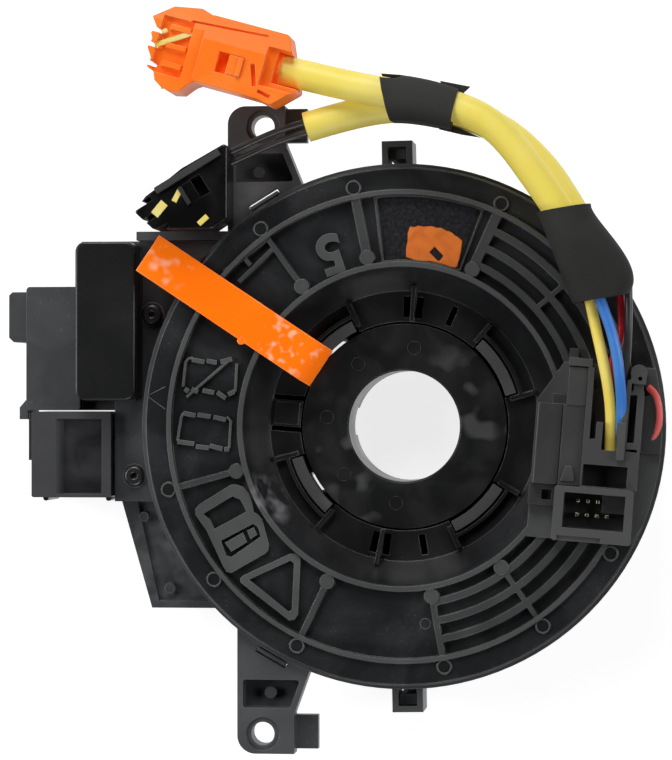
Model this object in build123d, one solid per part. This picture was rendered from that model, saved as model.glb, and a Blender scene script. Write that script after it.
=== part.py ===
from build123d import *
from math import atan2, cos, degrees, hypot, radians, sin, tan
import os

os.makedirs("parts", exist_ok=True)

# Steering clock spring. Millimetres and degrees. +Z points along the steering shaft to the wheel,
# +Y to the upper bracket, and the origin is the centre of the bore on the back plane.

# ---------------------------------------------------------------------------
# Driving dimensions
# ---------------------------------------------------------------------------
wall = 1.8
thin_wall = 1.2
turn_gap = 0.3          # clearance between what turns and what stands still
running_gap = 0.08      # radial clearance of the carrier and the rollers

bore_radius = 12.0
rotor_radius = 55.4
hub_radius = 33.0       # the drum that the flat cable winds on
flange_overhang = 0.8   # how far the case rim stands out past the rotor
rotor_angle = -4.5      # how far the rotor stands from its square position

base_thickness = 2.2
case_top = 24.0
band_thickness = 1.9
ridge_height = 0.8
bowl_floor = 18.0       # height of the sunk floor round the bore

# Radii, outwards
ferrule_wall = 1.8
disc_hole_radius = 22.5
bowl_floor_radius = 29.2
bowl_radius = 34.1
bowl_ridge_width = 1.1
ridge_radius = 50.0
ridge_width = 1.0
case_bore = rotor_radius - 2.4
case_outer = case_bore + wall
flange_radius = rotor_radius + flange_overhang
skirt_outer = case_bore - 0.4
hub_inner = hub_radius - wall

# Heights, upwards
flange_thickness = 2.2
sleeve_bottom = 0.6
sleeve_flange_thickness = 1.6
lip_bottom = sleeve_bottom + sleeve_flange_thickness + turn_gap
lip_top = lip_bottom + wall
hub_bottom = lip_top + turn_gap
band_bottom = case_top + turn_gap
band_top = band_bottom + band_thickness
face_floor = band_top - ridge_height
ridge_top = band_top + ridge_height
plate_bottom = band_bottom - 1.1
skirt_bottom = plate_bottom - 1.8
rib_top = face_floor + 1.2
bowl_underside = bowl_floor - wall

# Snap claws between sleeve and disc
claw_angles = (36.5, 136.5, 216.5, 316.5)
claw_span = 31.0
claw_inner = 22.85
claw_thickness = 1.6
claw_hook = 1.0
claw_window_gap = 0.4
cored_claws = (136.5, 216.5)  # claws with a cored window, open to the back
core_width = 4.4
claw_bridge = 3.0       # what is left of such a claw above its window
sleeve_edge_radius = 22.1
sleeve_flange_radius = 30.0

# Flat cable
cable_thickness = 0.3
cable_pitch = 0.5
cable_width = 16.0
inner_half_turns = 8
outer_half_turns = 10
wind_clearance = 0.45
cable_bottom = hub_bottom + 0.2
u_turn_angle = 30.0
roller_count = 6
roller_clearance = 0.35
pin_radius = 2.0
carrier_thickness = 1.4
lip_radius = hub_radius + 2.4

# Column side
bracket_thickness = 5.6
bracket_top = case_top - 0.6
bracket_hole_radius = 2.5
plate_top = 16.0
plate_thickness = 2.0
cover_wall = 1.4
column_x = -83.1
lid_x = -81.6
pin_side = 0.7
screw_radius = 1.1
screw_head_radius = 2.1
screw_head_height = 1.4

# Wheel side connector, measured square to the rotor
socket_width = 12.8      # clear width of the mouth
socket_depth = 7.4
socket_wall = 1.9
socket_bridge = 1.3     # wall towards the hollow
socket_foot = 2.8       # wall away from it
connector_top = 33.0
socket_top = 34.0
cover_top = 31.5
well_floor = 28.4
terminal_pitch = 2.1
terminal_rows = (-0.9, 2.1)

# Harness
tube_diameter = 6.5
wire_diameter = 2.3
small_wire_diameter = 1.7
thin_wire_diameter = 1.4


# ---------------------------------------------------------------------------
# Shared shapes
# ---------------------------------------------------------------------------
def at(radius, angle, height=0.0):
    """Point at a radius and an angle about the steering axis."""
    return Vector(radius * cos(radians(angle)), radius * sin(radians(angle)), height)


def on_rotor(x, y, z):
    """Point given square to the rotor, turned to where the rotor stands."""
    radius, angle = hypot(x, y), degrees(atan2(y, x))
    return tuple(at(radius, angle + rotor_angle, z))


def block(x_range, y_range, z_range):
    """Square block between two values on each axis."""
    size = [high - low for low, high in (x_range, y_range, z_range)]
    middle = [(high + low) / 2 for low, high in (x_range, y_range, z_range)]
    return Pos(*middle) * Box(*size)


def prism(points, low, high, rounding=0.0):
    """Straight-sided block on an outline, with its upright corners rounded."""
    face = make_face(Polyline(*points, close=True))
    if rounding:
        face = fillet(face.vertices(), rounding)
    return Pos(0, 0, low) * extrude(face, high - low, dir=(0, 0, 1))


def ring(inner, outer, low, high):
    """Flat ring about the steering axis."""
    return Pos(0, 0, low) * extrude(Circle(outer) - Circle(inner), high - low)


def sector(inner, outer, start, end, low, high):
    """Part of a flat ring between two angles."""
    middle = (start + end) / 2
    outline = ThreePointArc(at(inner, start), at(inner, middle), at(inner, end))
    outline += Line(at(inner, end), at(outer, end))
    outline += ThreePointArc(at(outer, end), at(outer, middle), at(outer, start))
    outline += Line(at(outer, start), at(inner, start))
    return Pos(0, 0, low) * extrude(make_face(outline), high - low, dir=(0, 0, 1))


def spoke(angle, inner, outer, width, low, high):
    """Straight radial rib."""
    return Rot(0, 0, angle) * block((inner, outer), (-width / 2, width / 2), (low, high))


def rib(start, end, width, low, high):
    """Straight rib between two points of the plan."""
    length = hypot(end[0] - start[0], end[1] - start[1])
    angle = degrees(atan2(end[1] - start[1], end[0] - start[0]))
    return Pos(*start, 0) * Rot(0, 0, angle) * block((0, length), (-width / 2, width / 2), (low, high))


def peg(centre, radius, low, high):
    """Upright round peg."""
    return Pos(centre[0], centre[1], (low + high) / 2) * Cylinder(radius, high - low)


def together(shapes):
    """Several separate solids as one piece."""
    return Part() + list(shapes)


def turned(outline):
    """Solid of revolution about the steering axis, from (radius, height) lines."""
    return revolve(Plane.XZ * make_face(outline), Axis.Z)


def cord(points, diameter, name):
    """Round cord of straight runs joined by the largest arcs that the runs allow."""
    runs = [Vector(*end) - Vector(*start) for start, end in zip(points, points[1:])]
    radii = []
    for before, after in zip(runs, runs[1:]):
        half_turn = radians(before.get_angle(after)) / 2
        radii.append(0.45 * min(before.length, after.length) / tan(half_turn))
    path = FilletPolyline(*points, radius=radii)
    tube = sweep(Plane(origin=path @ 0, z_dir=path % 0) * Circle(diameter / 2), path=path)
    section = Circle(diameter / 2).area
    print(name, "radii", [round(r, 1) for r in radii], "length", round(path.length, 2),
          "volume ratio", round(tube.volume / (section * path.length), 4))
    return tube


# ---------------------------------------------------------------------------
# Fixed side
# ---------------------------------------------------------------------------
clip_angles = (91.1, 271.1)
clip_width = 6.6
clip_wall = 1.3
clip_reach = 5.0
clip_low = 12.0
hook_angles = (121.5, 240.4)
hook_slot_length = 7.4
hook_slot_width = 1.35
hook_slot_gap = 0.2
hook_thickness = 0.8
hook_length = 6.8
hook_play = 0.1
slot_relief = 2.0       # thickness of the upper ear round its slot

upper_bracket = [(-37.7, 68.9), (-25.3, 68.9), (-25.3, 61.0), (-21.6, 51.9), (-22.0, 44.0), (-37.7, 39.0)]
lower_bracket = [(-35.6, -70.4), (-35.6, -40.0), (-20.0, -46.0), (-20.0, -52.6), (-23.3, -61.8),
                 (-23.3, -70.4)]
bracket_corner = 3.9
hole_x = -30.1
upper_hole = (hole_x, 64.4)
lower_hole = (hole_x, -66.1)
pocket_depth = 3.6
pocket_wall = 1.3
upper_tab = ((-25.3, -20.8), (61.2, 68.5))
lower_tab = ((-23.3, -18.4), (-69.5, -62.2))
tab_thickness = 2.5

cover_x = (-71.0, -57.8)
cover_y = (5.6, 39.9)
lid_y = (-15.6, 3.1)
lid_right = -64.0
seam = 0.4
plate_low_y = -15.0
plate_high_y = 40.3
plate_left = lid_right + seam
side_plate = [(cover_x[0], cover_y[0] - 0.2), (cover_x[0], plate_high_y), (-30.0, plate_high_y),
              (-30.0, plate_low_y), (plate_left, plate_low_y), (plate_left, cover_y[0] - 0.2)]
low_plate = [(plate_left, plate_low_y), (-56.4, -40.1), (-36.0, -40.1), (-36.0, plate_low_y)]
low_plate_top = 9.0
low_rim = 1.6
low_step = 0.7
fence = ((-58.2, -36.0), (plate_high_y, 42.2))
screw_places = ((-55.3, 24.3), (-59.2, -10.9))
lead_window_angle = 172.0
lead_window_width = 8.0
lead_window_top = 13.0


def bracket(outline, corner, hole, tab):
    """Ear with a rounded outer corner, a mounting hole, a cored pocket and a side tab."""
    low = bracket_top - bracket_thickness
    face = make_face(Polyline(*outline, close=True))
    face = fillet(face.vertices().sort_by_distance((*corner, 0))[0], bracket_corner)
    ear = Pos(0, 0, low) * extrude(face, bracket_thickness, dir=(0, 0, 1))
    ear += block(*tab, (low, low + tab_thickness))
    ear -= peg(hole, bracket_hole_radius, low - 1, bracket_top + 1)
    ear -= peg(hole, bracket_hole_radius + 1.1, bracket_top - 0.5, bracket_top + 1)
    return ear


def hook_slot(angle):
    """Slot in an ear for a snap hook of the base, just outside the case rim."""
    inner = flange_radius + hook_slot_gap
    half = hook_slot_length / 2
    return Rot(0, 0, angle) * block((inner, inner + hook_slot_width), (-half, half), (0, case_top + 1))


def stator_case():
    """Outer case: drum wall and rim, two ears, two clip loops and the connector plate."""
    case = ring(case_bore, case_outer, base_thickness, case_top)
    case += ring(case_bore, flange_radius, case_top - flange_thickness, case_top)
    # ears, plates and fence stand on the outside of the drum wall
    upper = bracket(upper_bracket, upper_bracket[0], upper_hole, upper_tab)
    lower = bracket(lower_bracket, lower_bracket[0], lower_hole, lower_tab)
    pocket_low = bracket_top - pocket_depth
    upper -= prism([(-36.5, 58.8), (-25.9, 58.8), (-23.3, 52.6), (-36.5, 52.6)], pocket_low, case_top, 0.6)
    pocket = [(-34.4, -60.5), (-34.4, -54.5), (-22.0, -54.5), (-24.2, -60.5)]
    lower -= prism(pocket, pocket_low, case_top, 0.6)
    upper += peg((-31.3, 54.7), 1.2, pocket_low, pocket_low + 1.6)
    lower += peg((-28.6, -57.4), 1.3, pocket_low, pocket_low + 1.6)
    plates = prism(side_plate, plate_top - plate_thickness, plate_top)
    plates += prism(low_plate, low_plate_top - plate_thickness, low_plate_top)
    plates += block(*fence, (8.0, 20.0))
    step = (low_plate_top - plate_thickness, plate_top)
    web = block((plate_left, -50.0), (plate_low_y - 1.5, plate_low_y), step)
    plates += web
    # raised rim along the free edges of the low plate, and its two bosses
    corner, foot, end = low_plate[0], low_plate[1], low_plate[2]
    edge = make_face(Polyline(*low_plate, close=True))
    inside = [(corner[0] + 2 * low_rim, corner[1] + 2), (foot[0] + low_rim, foot[1] + low_rim),
              (end[0], end[1] + low_rim), (end[0], corner[1] + 2)]
    edge -= make_face(Polyline(*inside, close=True))
    plates += Pos(0, 0, low_plate_top - 0.1) * extrude(edge, low_step + 0.1, dir=(0, 0, 1))
    plates += peg((-52.3, -35.8), 1.3, low_plate_top, low_plate_top + 1.2)
    plates += peg((-58.1, -20.0), 1.1, low_plate_top, low_plate_top + 1.2)
    for x in (-57.0, -50.0):
        plates += rib((x, 30.0), (x, plate_high_y), 1.2, 8.0, plate_top)
    plates += block((fence[0][0], fence[0][0] + thin_wall), (29.9, plate_high_y), (8.0, plate_top))
    outside = upper + lower + plates
    outside -= Pos(0, 0, case_top / 2) * Cylinder(case_outer - 0.5, case_top + 4)
    case += outside
    case -= Pos(0, 0, case_top / 2) * Cylinder(case_bore, case_top + 4)
    for angle in hook_angles:
        case -= hook_slot(angle)
    outer = flange_radius + hook_slot_gap + hook_slot_width
    half = hook_slot_length / 2
    case -= Rot(0, 0, hook_angles[0]) * block((outer - 0.2, outer + 1.2), (-half, half),
                                              (0, bracket_top - slot_relief))
    for angle in clip_angles:
        outer = case_outer + 1.4 + clip_reach
        half = clip_width / 2
        loop = block((case_outer - 0.5, outer), (-half, half), (clip_low, case_top - 1))
        inside = half - clip_wall
        loop -= block((flange_radius, outer - clip_wall), (-inside, inside), (0, case_top))
        case += Rot(0, 0, angle) * loop
    for place in screw_places:
        case -= peg(place, screw_radius + 0.05, plate_top - plate_thickness - 1, plate_top + 1)
    half = lead_window_width / 2
    window = block((case_bore - 2, case_outer + 2), (-half, half), (hub_bottom, lead_window_top))
    case -= Rot(0, 0, lead_window_angle) * window
    return case


def stator_base():
    """Back plate that closes the drum, with the lip that carries the rotor and four snap hooks."""
    recess = sleeve_flange_radius + 0.6
    low = Polyline((recess, 0), (flange_radius, 0), (flange_radius, base_thickness),
                   (lip_radius, base_thickness), (lip_radius, lip_top), (disc_hole_radius + 4.5, lip_top),
                   (disc_hole_radius + 4.5, lip_bottom), (recess, lip_bottom), close=True)
    base = turned(low)
    for angle in range(0, 360, 30):
        base += spoke(angle + 15, recess + 0.5, lip_radius + 6, 1.2, 0, base_thickness)
    for angle in hook_angles:
        inner = flange_radius + hook_slot_gap + hook_play
        half = hook_length / 2
        arm = block((flange_radius - 2, inner + hook_thickness), (-half, half), (0, base_thickness))
        tongue = block((inner, inner + hook_thickness), (-half, half), (0, bracket_top + 0.3))
        tongue = chamfer(tongue.faces().sort_by(Axis.Z)[-1].edges().sort_by(Axis.X)[-1], 0.3)
        base += Rot(0, 0, angle) * (arm + tongue)
    for angle in clip_angles:
        half = clip_width / 2 - clip_wall - 0.2
        outer = case_outer + 1.4 + clip_reach - clip_wall - 0.3
        arm = block((flange_radius - 2, outer), (-half, half), (0, base_thickness))
        arm += block((outer - 2.2, outer), (-half, half), (0, case_top - 2.5))
        base += Rot(0, 0, angle) * arm
    return base


cover_lip = 0.3
column_y = (3.4, 30.4)
column_top = 17.0
column_depth = 13.9
column_inner_x = -60.0
column_wall = 1.4
cavity_top = 11.0
lid_top = 18.6
panel_x = (-76.2, -66.1)
panel_slope = 1.5
panel_depth = 1.6
column_columns = 8
lid_columns = 5
column_pins_x = -71.5
column_pins_y = 16.9
lid_pins_x = -72.8
lid_pins_y = -6.3
column_pitch = 2.2


def sensor_cover():
    """Deep cover over the cable terminals, open at the back."""
    corner = 2.2
    shell = block(cover_x, cover_y, (plate_top, case_top))
    shell = fillet(shell.edges().filter_by(Axis.Z), corner)
    shell = fillet(shell.faces().sort_by(Axis.Z)[-1].edges(), 0.6)
    lip_x = (cover_x[0], cover_x[1] + cover_lip)
    lip = block(lip_x, (cover_y[0] - 0.2, cover_y[1]), (plate_top, plate_top + 1.2))
    shell += fillet(lip.edges().filter_by(Axis.Z), corner)
    inner_x = (cover_x[0] + cover_wall, cover_x[1] - cover_wall)
    inner_y = (cover_y[0] + cover_wall, cover_y[1] - cover_wall)
    return shell - block(inner_x, inner_y, (plate_top - 1, case_top - cover_wall))


def terminal_board():
    """Board under the cover that joins the cable leads to the connector pins."""
    clear = cover_wall + 0.3
    board_x = (cover_x[0] + clear, cover_x[1] - clear)
    board_y = (cover_y[0] + clear, cover_y[1] - clear)
    board = block(board_x, board_y, (plate_top, plate_top + 1.6))
    for y in (12.0, 20.0, 28.0):
        board += block((-66.5, -61.5), (y - 1.5, y + 1.5), (plate_top + 1.6, plate_top + 3.6))
    return board


def column_connector():
    """Connector shroud that opens to the back, with its lock ramp and foot."""
    body = block((column_x, cover_x[0] - 0.2), column_y, (0, column_top))
    body = fillet(body.edges().filter_by(Axis.Z), 0.8)
    body += block((column_x, column_inner_x), column_y, (0, column_depth))
    body += block((column_inner_x, -52.5), (20.0, 28.0), (9.5, column_depth))
    ramp = prism([(column_x, 18.3), (column_x - 3.0, 18.3), (column_x - 4.05, 19.3), (column_x - 4.05, 28.6),
                  (column_x - 3.3, 29.3), (column_x, 29.3)], 3.0, column_top - 1)
    body += ramp
    body += prism([(column_x, 1.4), (column_x - 1.9, 1.4), (column_x - 1.9, 4.0), (column_x, 6.2)], 3.0, 15.0)
    cavity_x = (column_x + column_wall, column_inner_x - column_wall)
    cavity_y = (column_y[0] + column_wall, column_y[1] - column_wall)
    body -= block(cavity_x, cavity_y, (-1, cavity_top))
    for x, y in pin_grid(column_columns, column_pins_x, column_pins_y):
        body -= peg_square(x, y, cavity_top - 1, column_depth - 0.4, pin_side)
    for y in (8.0, 25.0):
        body += block((cavity_x[0], cavity_x[0] + 0.8), (y - 0.5, y + 0.5), (0, cavity_top))
    body -= peg(screw_places[0], screw_radius, 5, column_depth + 1)
    return body


def pin_grid(columns, x_middle, y_middle):
    """Plan places of two rows of pins."""
    first = y_middle - (columns - 1) * column_pitch / 2
    return [(x_middle + side, first + step * column_pitch) for side in (-2.0, 2.0) for step in range(columns)]


def peg_square(x, y, low, high, side):
    """Square pin."""
    return block((x - side / 2, x + side / 2), (y - side / 2, y + side / 2), (low, high))


def column_pins():
    """Two rows of pins in the column connector."""
    return together([peg_square(x, y, 3.0, column_depth - 0.4, pin_side)
                     for x, y in pin_grid(column_columns, column_pins_x, column_pins_y)])


def sensor_connector():
    """Lower connector block, with a sunk panel on its wheel side and a mouth to the back."""
    body = block((lid_x, lid_right), lid_y, (0, lid_top))
    body = fillet(body.edges().filter_by(Axis.Z), 0.5)
    body += block((lid_x - 0.8, lid_x), (lid_y[1] - 10.6, lid_y[1] - 0.3), (2.0, lid_top - 1))
    body += block((lid_right, -56.3), (-14.0, -7.5), (9.5, plate_top - plate_thickness))
    left, right = panel_x
    floor = lid_top - panel_depth
    sunk = Polyline((left, lid_top), (left + panel_slope, floor), (right, floor), (right, lid_top),
                    close=True)
    body -= extrude(Plane.XZ.offset(-lid_y[1] + 1.6) * make_face(sunk), lid_y[1] - lid_y[0] - 2.4)
    cavity_x = (lid_x + 1.4, lid_right - 1.4)
    cavity_y = (lid_y[0] + 1.4, lid_y[1] - 1.4)
    body -= block(cavity_x, cavity_y, (-1, cavity_top))
    body -= peg(screw_places[1], screw_radius, 5, plate_top)
    for x in (lid_x + 2.8, lid_right - 0.9):
        body += peg((x, lid_y[0] - 0.2), 0.6, 4.0, lid_top - 2)
    for x, y in pin_grid(lid_columns, lid_pins_x, lid_pins_y):
        body -= peg_square(x, y, cavity_top - 1, cavity_top + 3, pin_side)
    return body


def sensor_pins():
    """Two rows of pins in the lower connector."""
    return together([peg_square(x, y, 3.0, cavity_top + 3, pin_side)
                     for x, y in pin_grid(lid_columns, lid_pins_x, lid_pins_y)])


def case_screws():
    """Two pan-head screws that hold the connectors to the plate."""
    screws = []
    for place in screw_places:
        screw = peg(place, screw_radius, plate_top - 6.0, plate_top)
        head = peg(place, screw_head_radius, plate_top, plate_top + screw_head_height)
        head = fillet(head.faces().sort_by(Axis.Z)[-1].edges(), 0.5)
        recess = peg(place, 0.75, plate_top + screw_head_height - 0.8, plate_top + 4)
        screws.append(screw + head - recess)
    return together(screws)


def stator_lead_block():
    """Block that clamps the outer end of the flat cable in the case wall."""
    half = lead_window_width / 2
    return Rot(0, 0, lead_window_angle) * block((case_bore, case_outer + 1.2), (-half, half),
                                                (hub_bottom, lead_window_top))


# ---------------------------------------------------------------------------
# Flat cable and its carrier
# ---------------------------------------------------------------------------
inner_wind = hub_radius + wind_clearance
inner_end = inner_wind + inner_half_turns * cable_pitch / 2
outer_wind = case_bore - wind_clearance + 0.1
outer_end = outer_wind - outer_half_turns * cable_pitch / 2
carrier_radius = (inner_end + outer_end) / 2
roller_radius = (outer_end - inner_end) / 2 - roller_clearance
roller_top = cable_bottom + cable_width - 0.4


def cable_edge(offset):
    """Half circles of one face of the cable, from the drum round the U turn to the case wall."""
    ends = []
    for turn in range(inner_half_turns, -1, -1):
        side = 1 if turn % 2 == 0 else -1
        ends.append(side * (inner_end - turn * cable_pitch / 2 + offset))
    for turn in range(outer_half_turns + 1):
        side = 1 if turn % 2 == 0 else -1
        ends.append(side * (outer_end + turn * cable_pitch / 2 - offset))
    arcs = []
    for index, (start, end) in enumerate(zip(ends, ends[1:])):
        reach = abs(end - start) / 2
        towards = 1 if start > 0 else -1
        if index > inner_half_turns:
            towards = -towards
        arcs.append(ThreePointArc((start, 0), ((start + end) / 2, towards * reach), (end, 0)))
    return arcs, ends


def flat_cable():
    """Flat cable: coiled on the drum, turned back round a roller, coiled inside the case."""
    left, left_ends = cable_edge(-cable_thickness / 2)
    right, right_ends = cable_edge(cable_thickness / 2)
    outline = Curve() + left + right
    outline += Line((left_ends[0], 0), (right_ends[0], 0))
    outline += Line((left_ends[-1], 0), (right_ends[-1], 0))
    face = make_face(outline)
    cable = Pos(0, 0, cable_bottom) * extrude(face, cable_width, dir=(0, 0, 1))
    return Rot(0, 0, u_turn_angle) * cable


def carrier_ring():
    """Ring that runs round the lip of the base and carries the roller pins."""
    inner = lip_radius + running_gap
    outer = carrier_radius + roller_radius + 0.1
    carrier = ring(inner, outer, base_thickness, base_thickness + carrier_thickness)
    for index in range(roller_count):
        angle = u_turn_angle + index * 360 / roller_count
        place = at(carrier_radius, angle)
        carrier += peg((place.X, place.Y), pin_radius, base_thickness, roller_top - 0.6)
    for index in range(roller_count):
        angle = u_turn_angle + (index + 0.5) * 360 / roller_count
        place = at(carrier_radius, angle)
        carrier -= peg((place.X, place.Y), 3.4, 0, base_thickness + carrier_thickness + 1)
    return carrier


def roller(index):
    """Hollow roller on one carrier pin, with a waisted bore."""
    low = base_thickness + carrier_thickness + 0.05
    place = at(carrier_radius, u_turn_angle + index * 360 / roller_count)
    bore = pin_radius + running_gap
    wheel = ring(roller_radius - 1.2, roller_radius, low, roller_top)
    wheel += ring(bore, bore + 1.2, low, roller_top)
    for angle in (0, 120, 240):
        wheel += Rot(0, 0, angle) * block((bore + 0.6, roller_radius - 0.6), (-0.6, 0.6), (low, roller_top))
    return Pos(place.X, place.Y, 0) * wheel


# ---------------------------------------------------------------------------
# Turning side, modelled square to the rotor
# ---------------------------------------------------------------------------
rib_angles = (70.0, 105.9, 130.0, 199.7, 248.9, 284.7, 310.0)
rib_widths = (2.1, 1.9, 1.0, 1.2, 1.2, 1.2, 1.0)
boss_angles = (70.2, 105.8, 130.0, 199.7, 223.7, 249.0, 284.7, 310.0, 333.4)
boss_radius = 1.6
boss_ring = 51.9
rib_inner = 36.7
arc_radii = (38.0, 42.0, 46.0)
arc_width = 1.5
upper_arcs = (24.0, 70.0)
lower_arcs = (284.7, 333.0)
cross_angle = 45.5
window_angles = (74.0, 100.8)
window_radii = (35.6, 49.1)
window_depth = 0.4
slots = ((71.0, 1.2), (283.7, 1.4))
twin_rib_angles = (90.1, 263.2)
lead_slot_angle = 4.5


def rotor_disc():
    """Front disc: outer band, ridges, ribbed face, glossy bowl, and the drum for the cable."""
    back = Polyline(
        (bowl_floor_radius, bowl_floor), (disc_hole_radius, bowl_floor), (disc_hole_radius, bowl_underside),
        (hub_inner - 1.0, bowl_underside), (hub_inner, bowl_underside - 1.0), (hub_inner, hub_bottom),
        (hub_radius, hub_bottom), (hub_radius, cable_bottom + cable_width + 0.3),
        (hub_radius + 2.8, plate_bottom),
        (skirt_outer - 1.6, plate_bottom), (skirt_outer - 1.6, skirt_bottom), (skirt_outer, skirt_bottom),
        (skirt_outer, band_bottom), (rotor_radius, band_bottom), (rotor_radius, band_top - 0.4),
        (rotor_radius - 0.4, band_top), (ridge_radius + ridge_width / 2, band_top),
        (ridge_radius + ridge_width / 2, ridge_top), (ridge_radius - ridge_width / 2, ridge_top),
        (ridge_radius - ridge_width / 2, face_floor), (bowl_radius + bowl_ridge_width, face_floor),
        (bowl_radius + bowl_ridge_width, ridge_top), (bowl_radius, ridge_top))
    slope_middle = ((bowl_radius + bowl_floor_radius) / 2 + 0.6, (ridge_top + bowl_floor) / 2 - 0.5)
    slope = ThreePointArc((bowl_radius, ridge_top), slope_middle, (bowl_floor_radius, bowl_floor))
    disc = turned(back + slope)

    # ribs and bosses of the face
    for angle, width in zip(rib_angles, rib_widths):
        end = at(rib_inner, angle)
        disc += spoke(angle, rib_inner, ridge_radius, width, face_floor, rib_top)
        disc += peg((end.X, end.Y), boss_radius, face_floor, rib_top + 0.2)
    for angle in boss_angles:
        centre = at(boss_ring, angle)
        disc += peg((centre.X, centre.Y), boss_radius, band_top - 0.2, band_top + 0.35)
    for radius in arc_radii:
        for start, end in (upper_arcs, lower_arcs):
            disc += sector(radius - arc_width / 2, radius + arc_width / 2, start, end, face_floor, rib_top)
    disc += spoke(cross_angle, arc_radii[0], arc_radii[-1], 1.0, face_floor, rib_top)

    # ladder of small ribs left of the third spoke
    disc += rib((-31.4, 38.1), (-40.4, 30.1), 0.9, face_floor, rib_top)
    disc += rib((-30.5, 35.6), (-37.2, 28.1), 0.9, face_floor, rib_top)
    disc += rib((-36.9, 33.8), (-34.9, 31.8), 0.9, face_floor, rib_top)

    # sunk marking window between two spokes, with a fine frame
    inner, outer = window_radii
    start, end = window_angles
    disc += sector(inner - 0.35, outer + 0.35, start - 0.5, end + 0.5, face_floor, face_floor + 0.35)
    disc -= sector(inner, outer, start, end, face_floor - window_depth, face_floor + 1)

    # plinth of the wheel side connector
    low = socket_centre[1] - socket_depth / 2 - socket_foot
    pad = [(28.4, low), (28.4, 8.0), (33.6, 16.4), (56.0, 16.4), (56.0, -11.0), (50.4, low)]
    plinth = prism(pad, band_bottom, ridge_top)
    plinth &= Pos(0, 0, band_bottom) * Cylinder(rotor_radius - 0.02, 40)
    disc += plinth

    # windows, ribs and slots of the bowl floor
    half_window = claw_span / 2 + 1.0
    outer_window = claw_inner + claw_thickness + claw_window_gap
    for angle in claw_angles:
        start, end = angle - half_window, angle + half_window
        disc -= sector(disc_hole_radius - 0.5, outer_window, start, end, bowl_underside - 1, bowl_floor + 1)
        disc += sector(outer_window + 0.9, outer_window + 1.7, start, end, bowl_floor - 0.5, bowl_floor + 1.4)
        for side in (start - 1, end + 1):
            disc += spoke(side, disc_hole_radius + 1.2, bowl_floor_radius - 0.4, 1.0,
                          bowl_floor - 0.5, bowl_floor + 1.4)
    for angle, width in slots:
        disc -= spoke(angle, disc_hole_radius + 1.2, bowl_floor_radius - 1.2, width,
                      bowl_underside - 1, bowl_floor + 1)
    for angle in twin_rib_angles:
        for side in (-1, 1):
            disc -= spoke(angle + side * 2.9, disc_hole_radius + 1.0, bowl_floor_radius - 1.2, 1.5,
                          bowl_underside - 1, bowl_floor + 1)
        disc += spoke(angle, disc_hole_radius + 0.2, bowl_floor_radius + 1, 0.9, bowl_floor - 0.5,
                      bowl_floor + 2.2)
    # snap tongue at the left of the bowl
    for y in (4.2, -2.6):
        disc -= block((-bowl_floor_radius + 0.5, -disc_hole_radius + 1.5), (y - 0.5, y + 0.5),
                      (bowl_underside - 1, bowl_floor + 1))
    disc += block((-bowl_floor_radius + 1.0, -disc_hole_radius - 0.4), (-1.6, 3.2),
                  (bowl_floor - 0.5, bowl_floor + 0.7))
    # opening in the drum wall for the cable end
    half = lead_window_width / 2
    disc -= Rot(0, 0, lead_slot_angle) * block((hub_inner - 3, hub_radius + 1), (-half, half),
                                               (cable_bottom, lead_window_top))
    return disc


def rotor_sleeve():
    """Shaft sleeve, pushed through from the back and held in the disc by four claws."""
    top = bowl_floor
    inner = bore_radius + ferrule_wall
    skin = sleeve_edge_radius - wall
    flange_top = sleeve_bottom + sleeve_flange_thickness
    outline = Polyline((bore_radius, 0), (bore_radius, top - 0.3), (bore_radius + 0.3, top),
                       (sleeve_edge_radius, top), (sleeve_edge_radius, flange_top),
                       (sleeve_flange_radius, flange_top), (sleeve_flange_radius, sleeve_bottom),
                       (skin, sleeve_bottom), (skin, top - wall), (inner, top - wall),
                       (inner, 0), close=True)
    sleeve = turned(outline)
    for index in range(8):
        sleeve += spoke(index * 45 + 22.5, inner - 0.2, skin + 0.2, 1.2, 4.0, top - wall + 0.2)
    for angle in claw_angles:
        half = claw_span / 2
        outer = claw_inner + claw_thickness
        sleeve += sector(claw_inner, outer, angle - half, angle + half, flange_top - 0.2, top + 1.6)
        sleeve += sector(outer - 0.2, outer + claw_hook - 0.2, angle - half, angle + half,
                         top + 0.1, top + 1.6)
    for angle in cored_claws:
        core = block((sleeve_edge_radius + 0.02, claw_inner + claw_thickness + claw_hook),
                     (-core_width / 2, core_width / 2), (0, top - claw_bridge))
        sleeve -= Rot(0, 0, angle) * core
    # drive slots at the back end of the tube, for the cancelling collar of the switch
    for angle in (0, 180):
        sleeve -= Rot(0, 0, angle) * block((bore_radius - 1, inner + 0.1), (-3, 3), (0, 4.0))
    return sleeve


socket_centre = (42.3, -14.55)
body_x = (38.9, 50.9)
body_y = (-9.6, 11.4)
body_wall = 1.3
wing_top = 15.6
channel_x = (42.8, 45.8)
bar_x = (46.1, 47.65)
slot_x = (48.0, 49.5)
lug_x = (47.9, 51.1)


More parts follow.
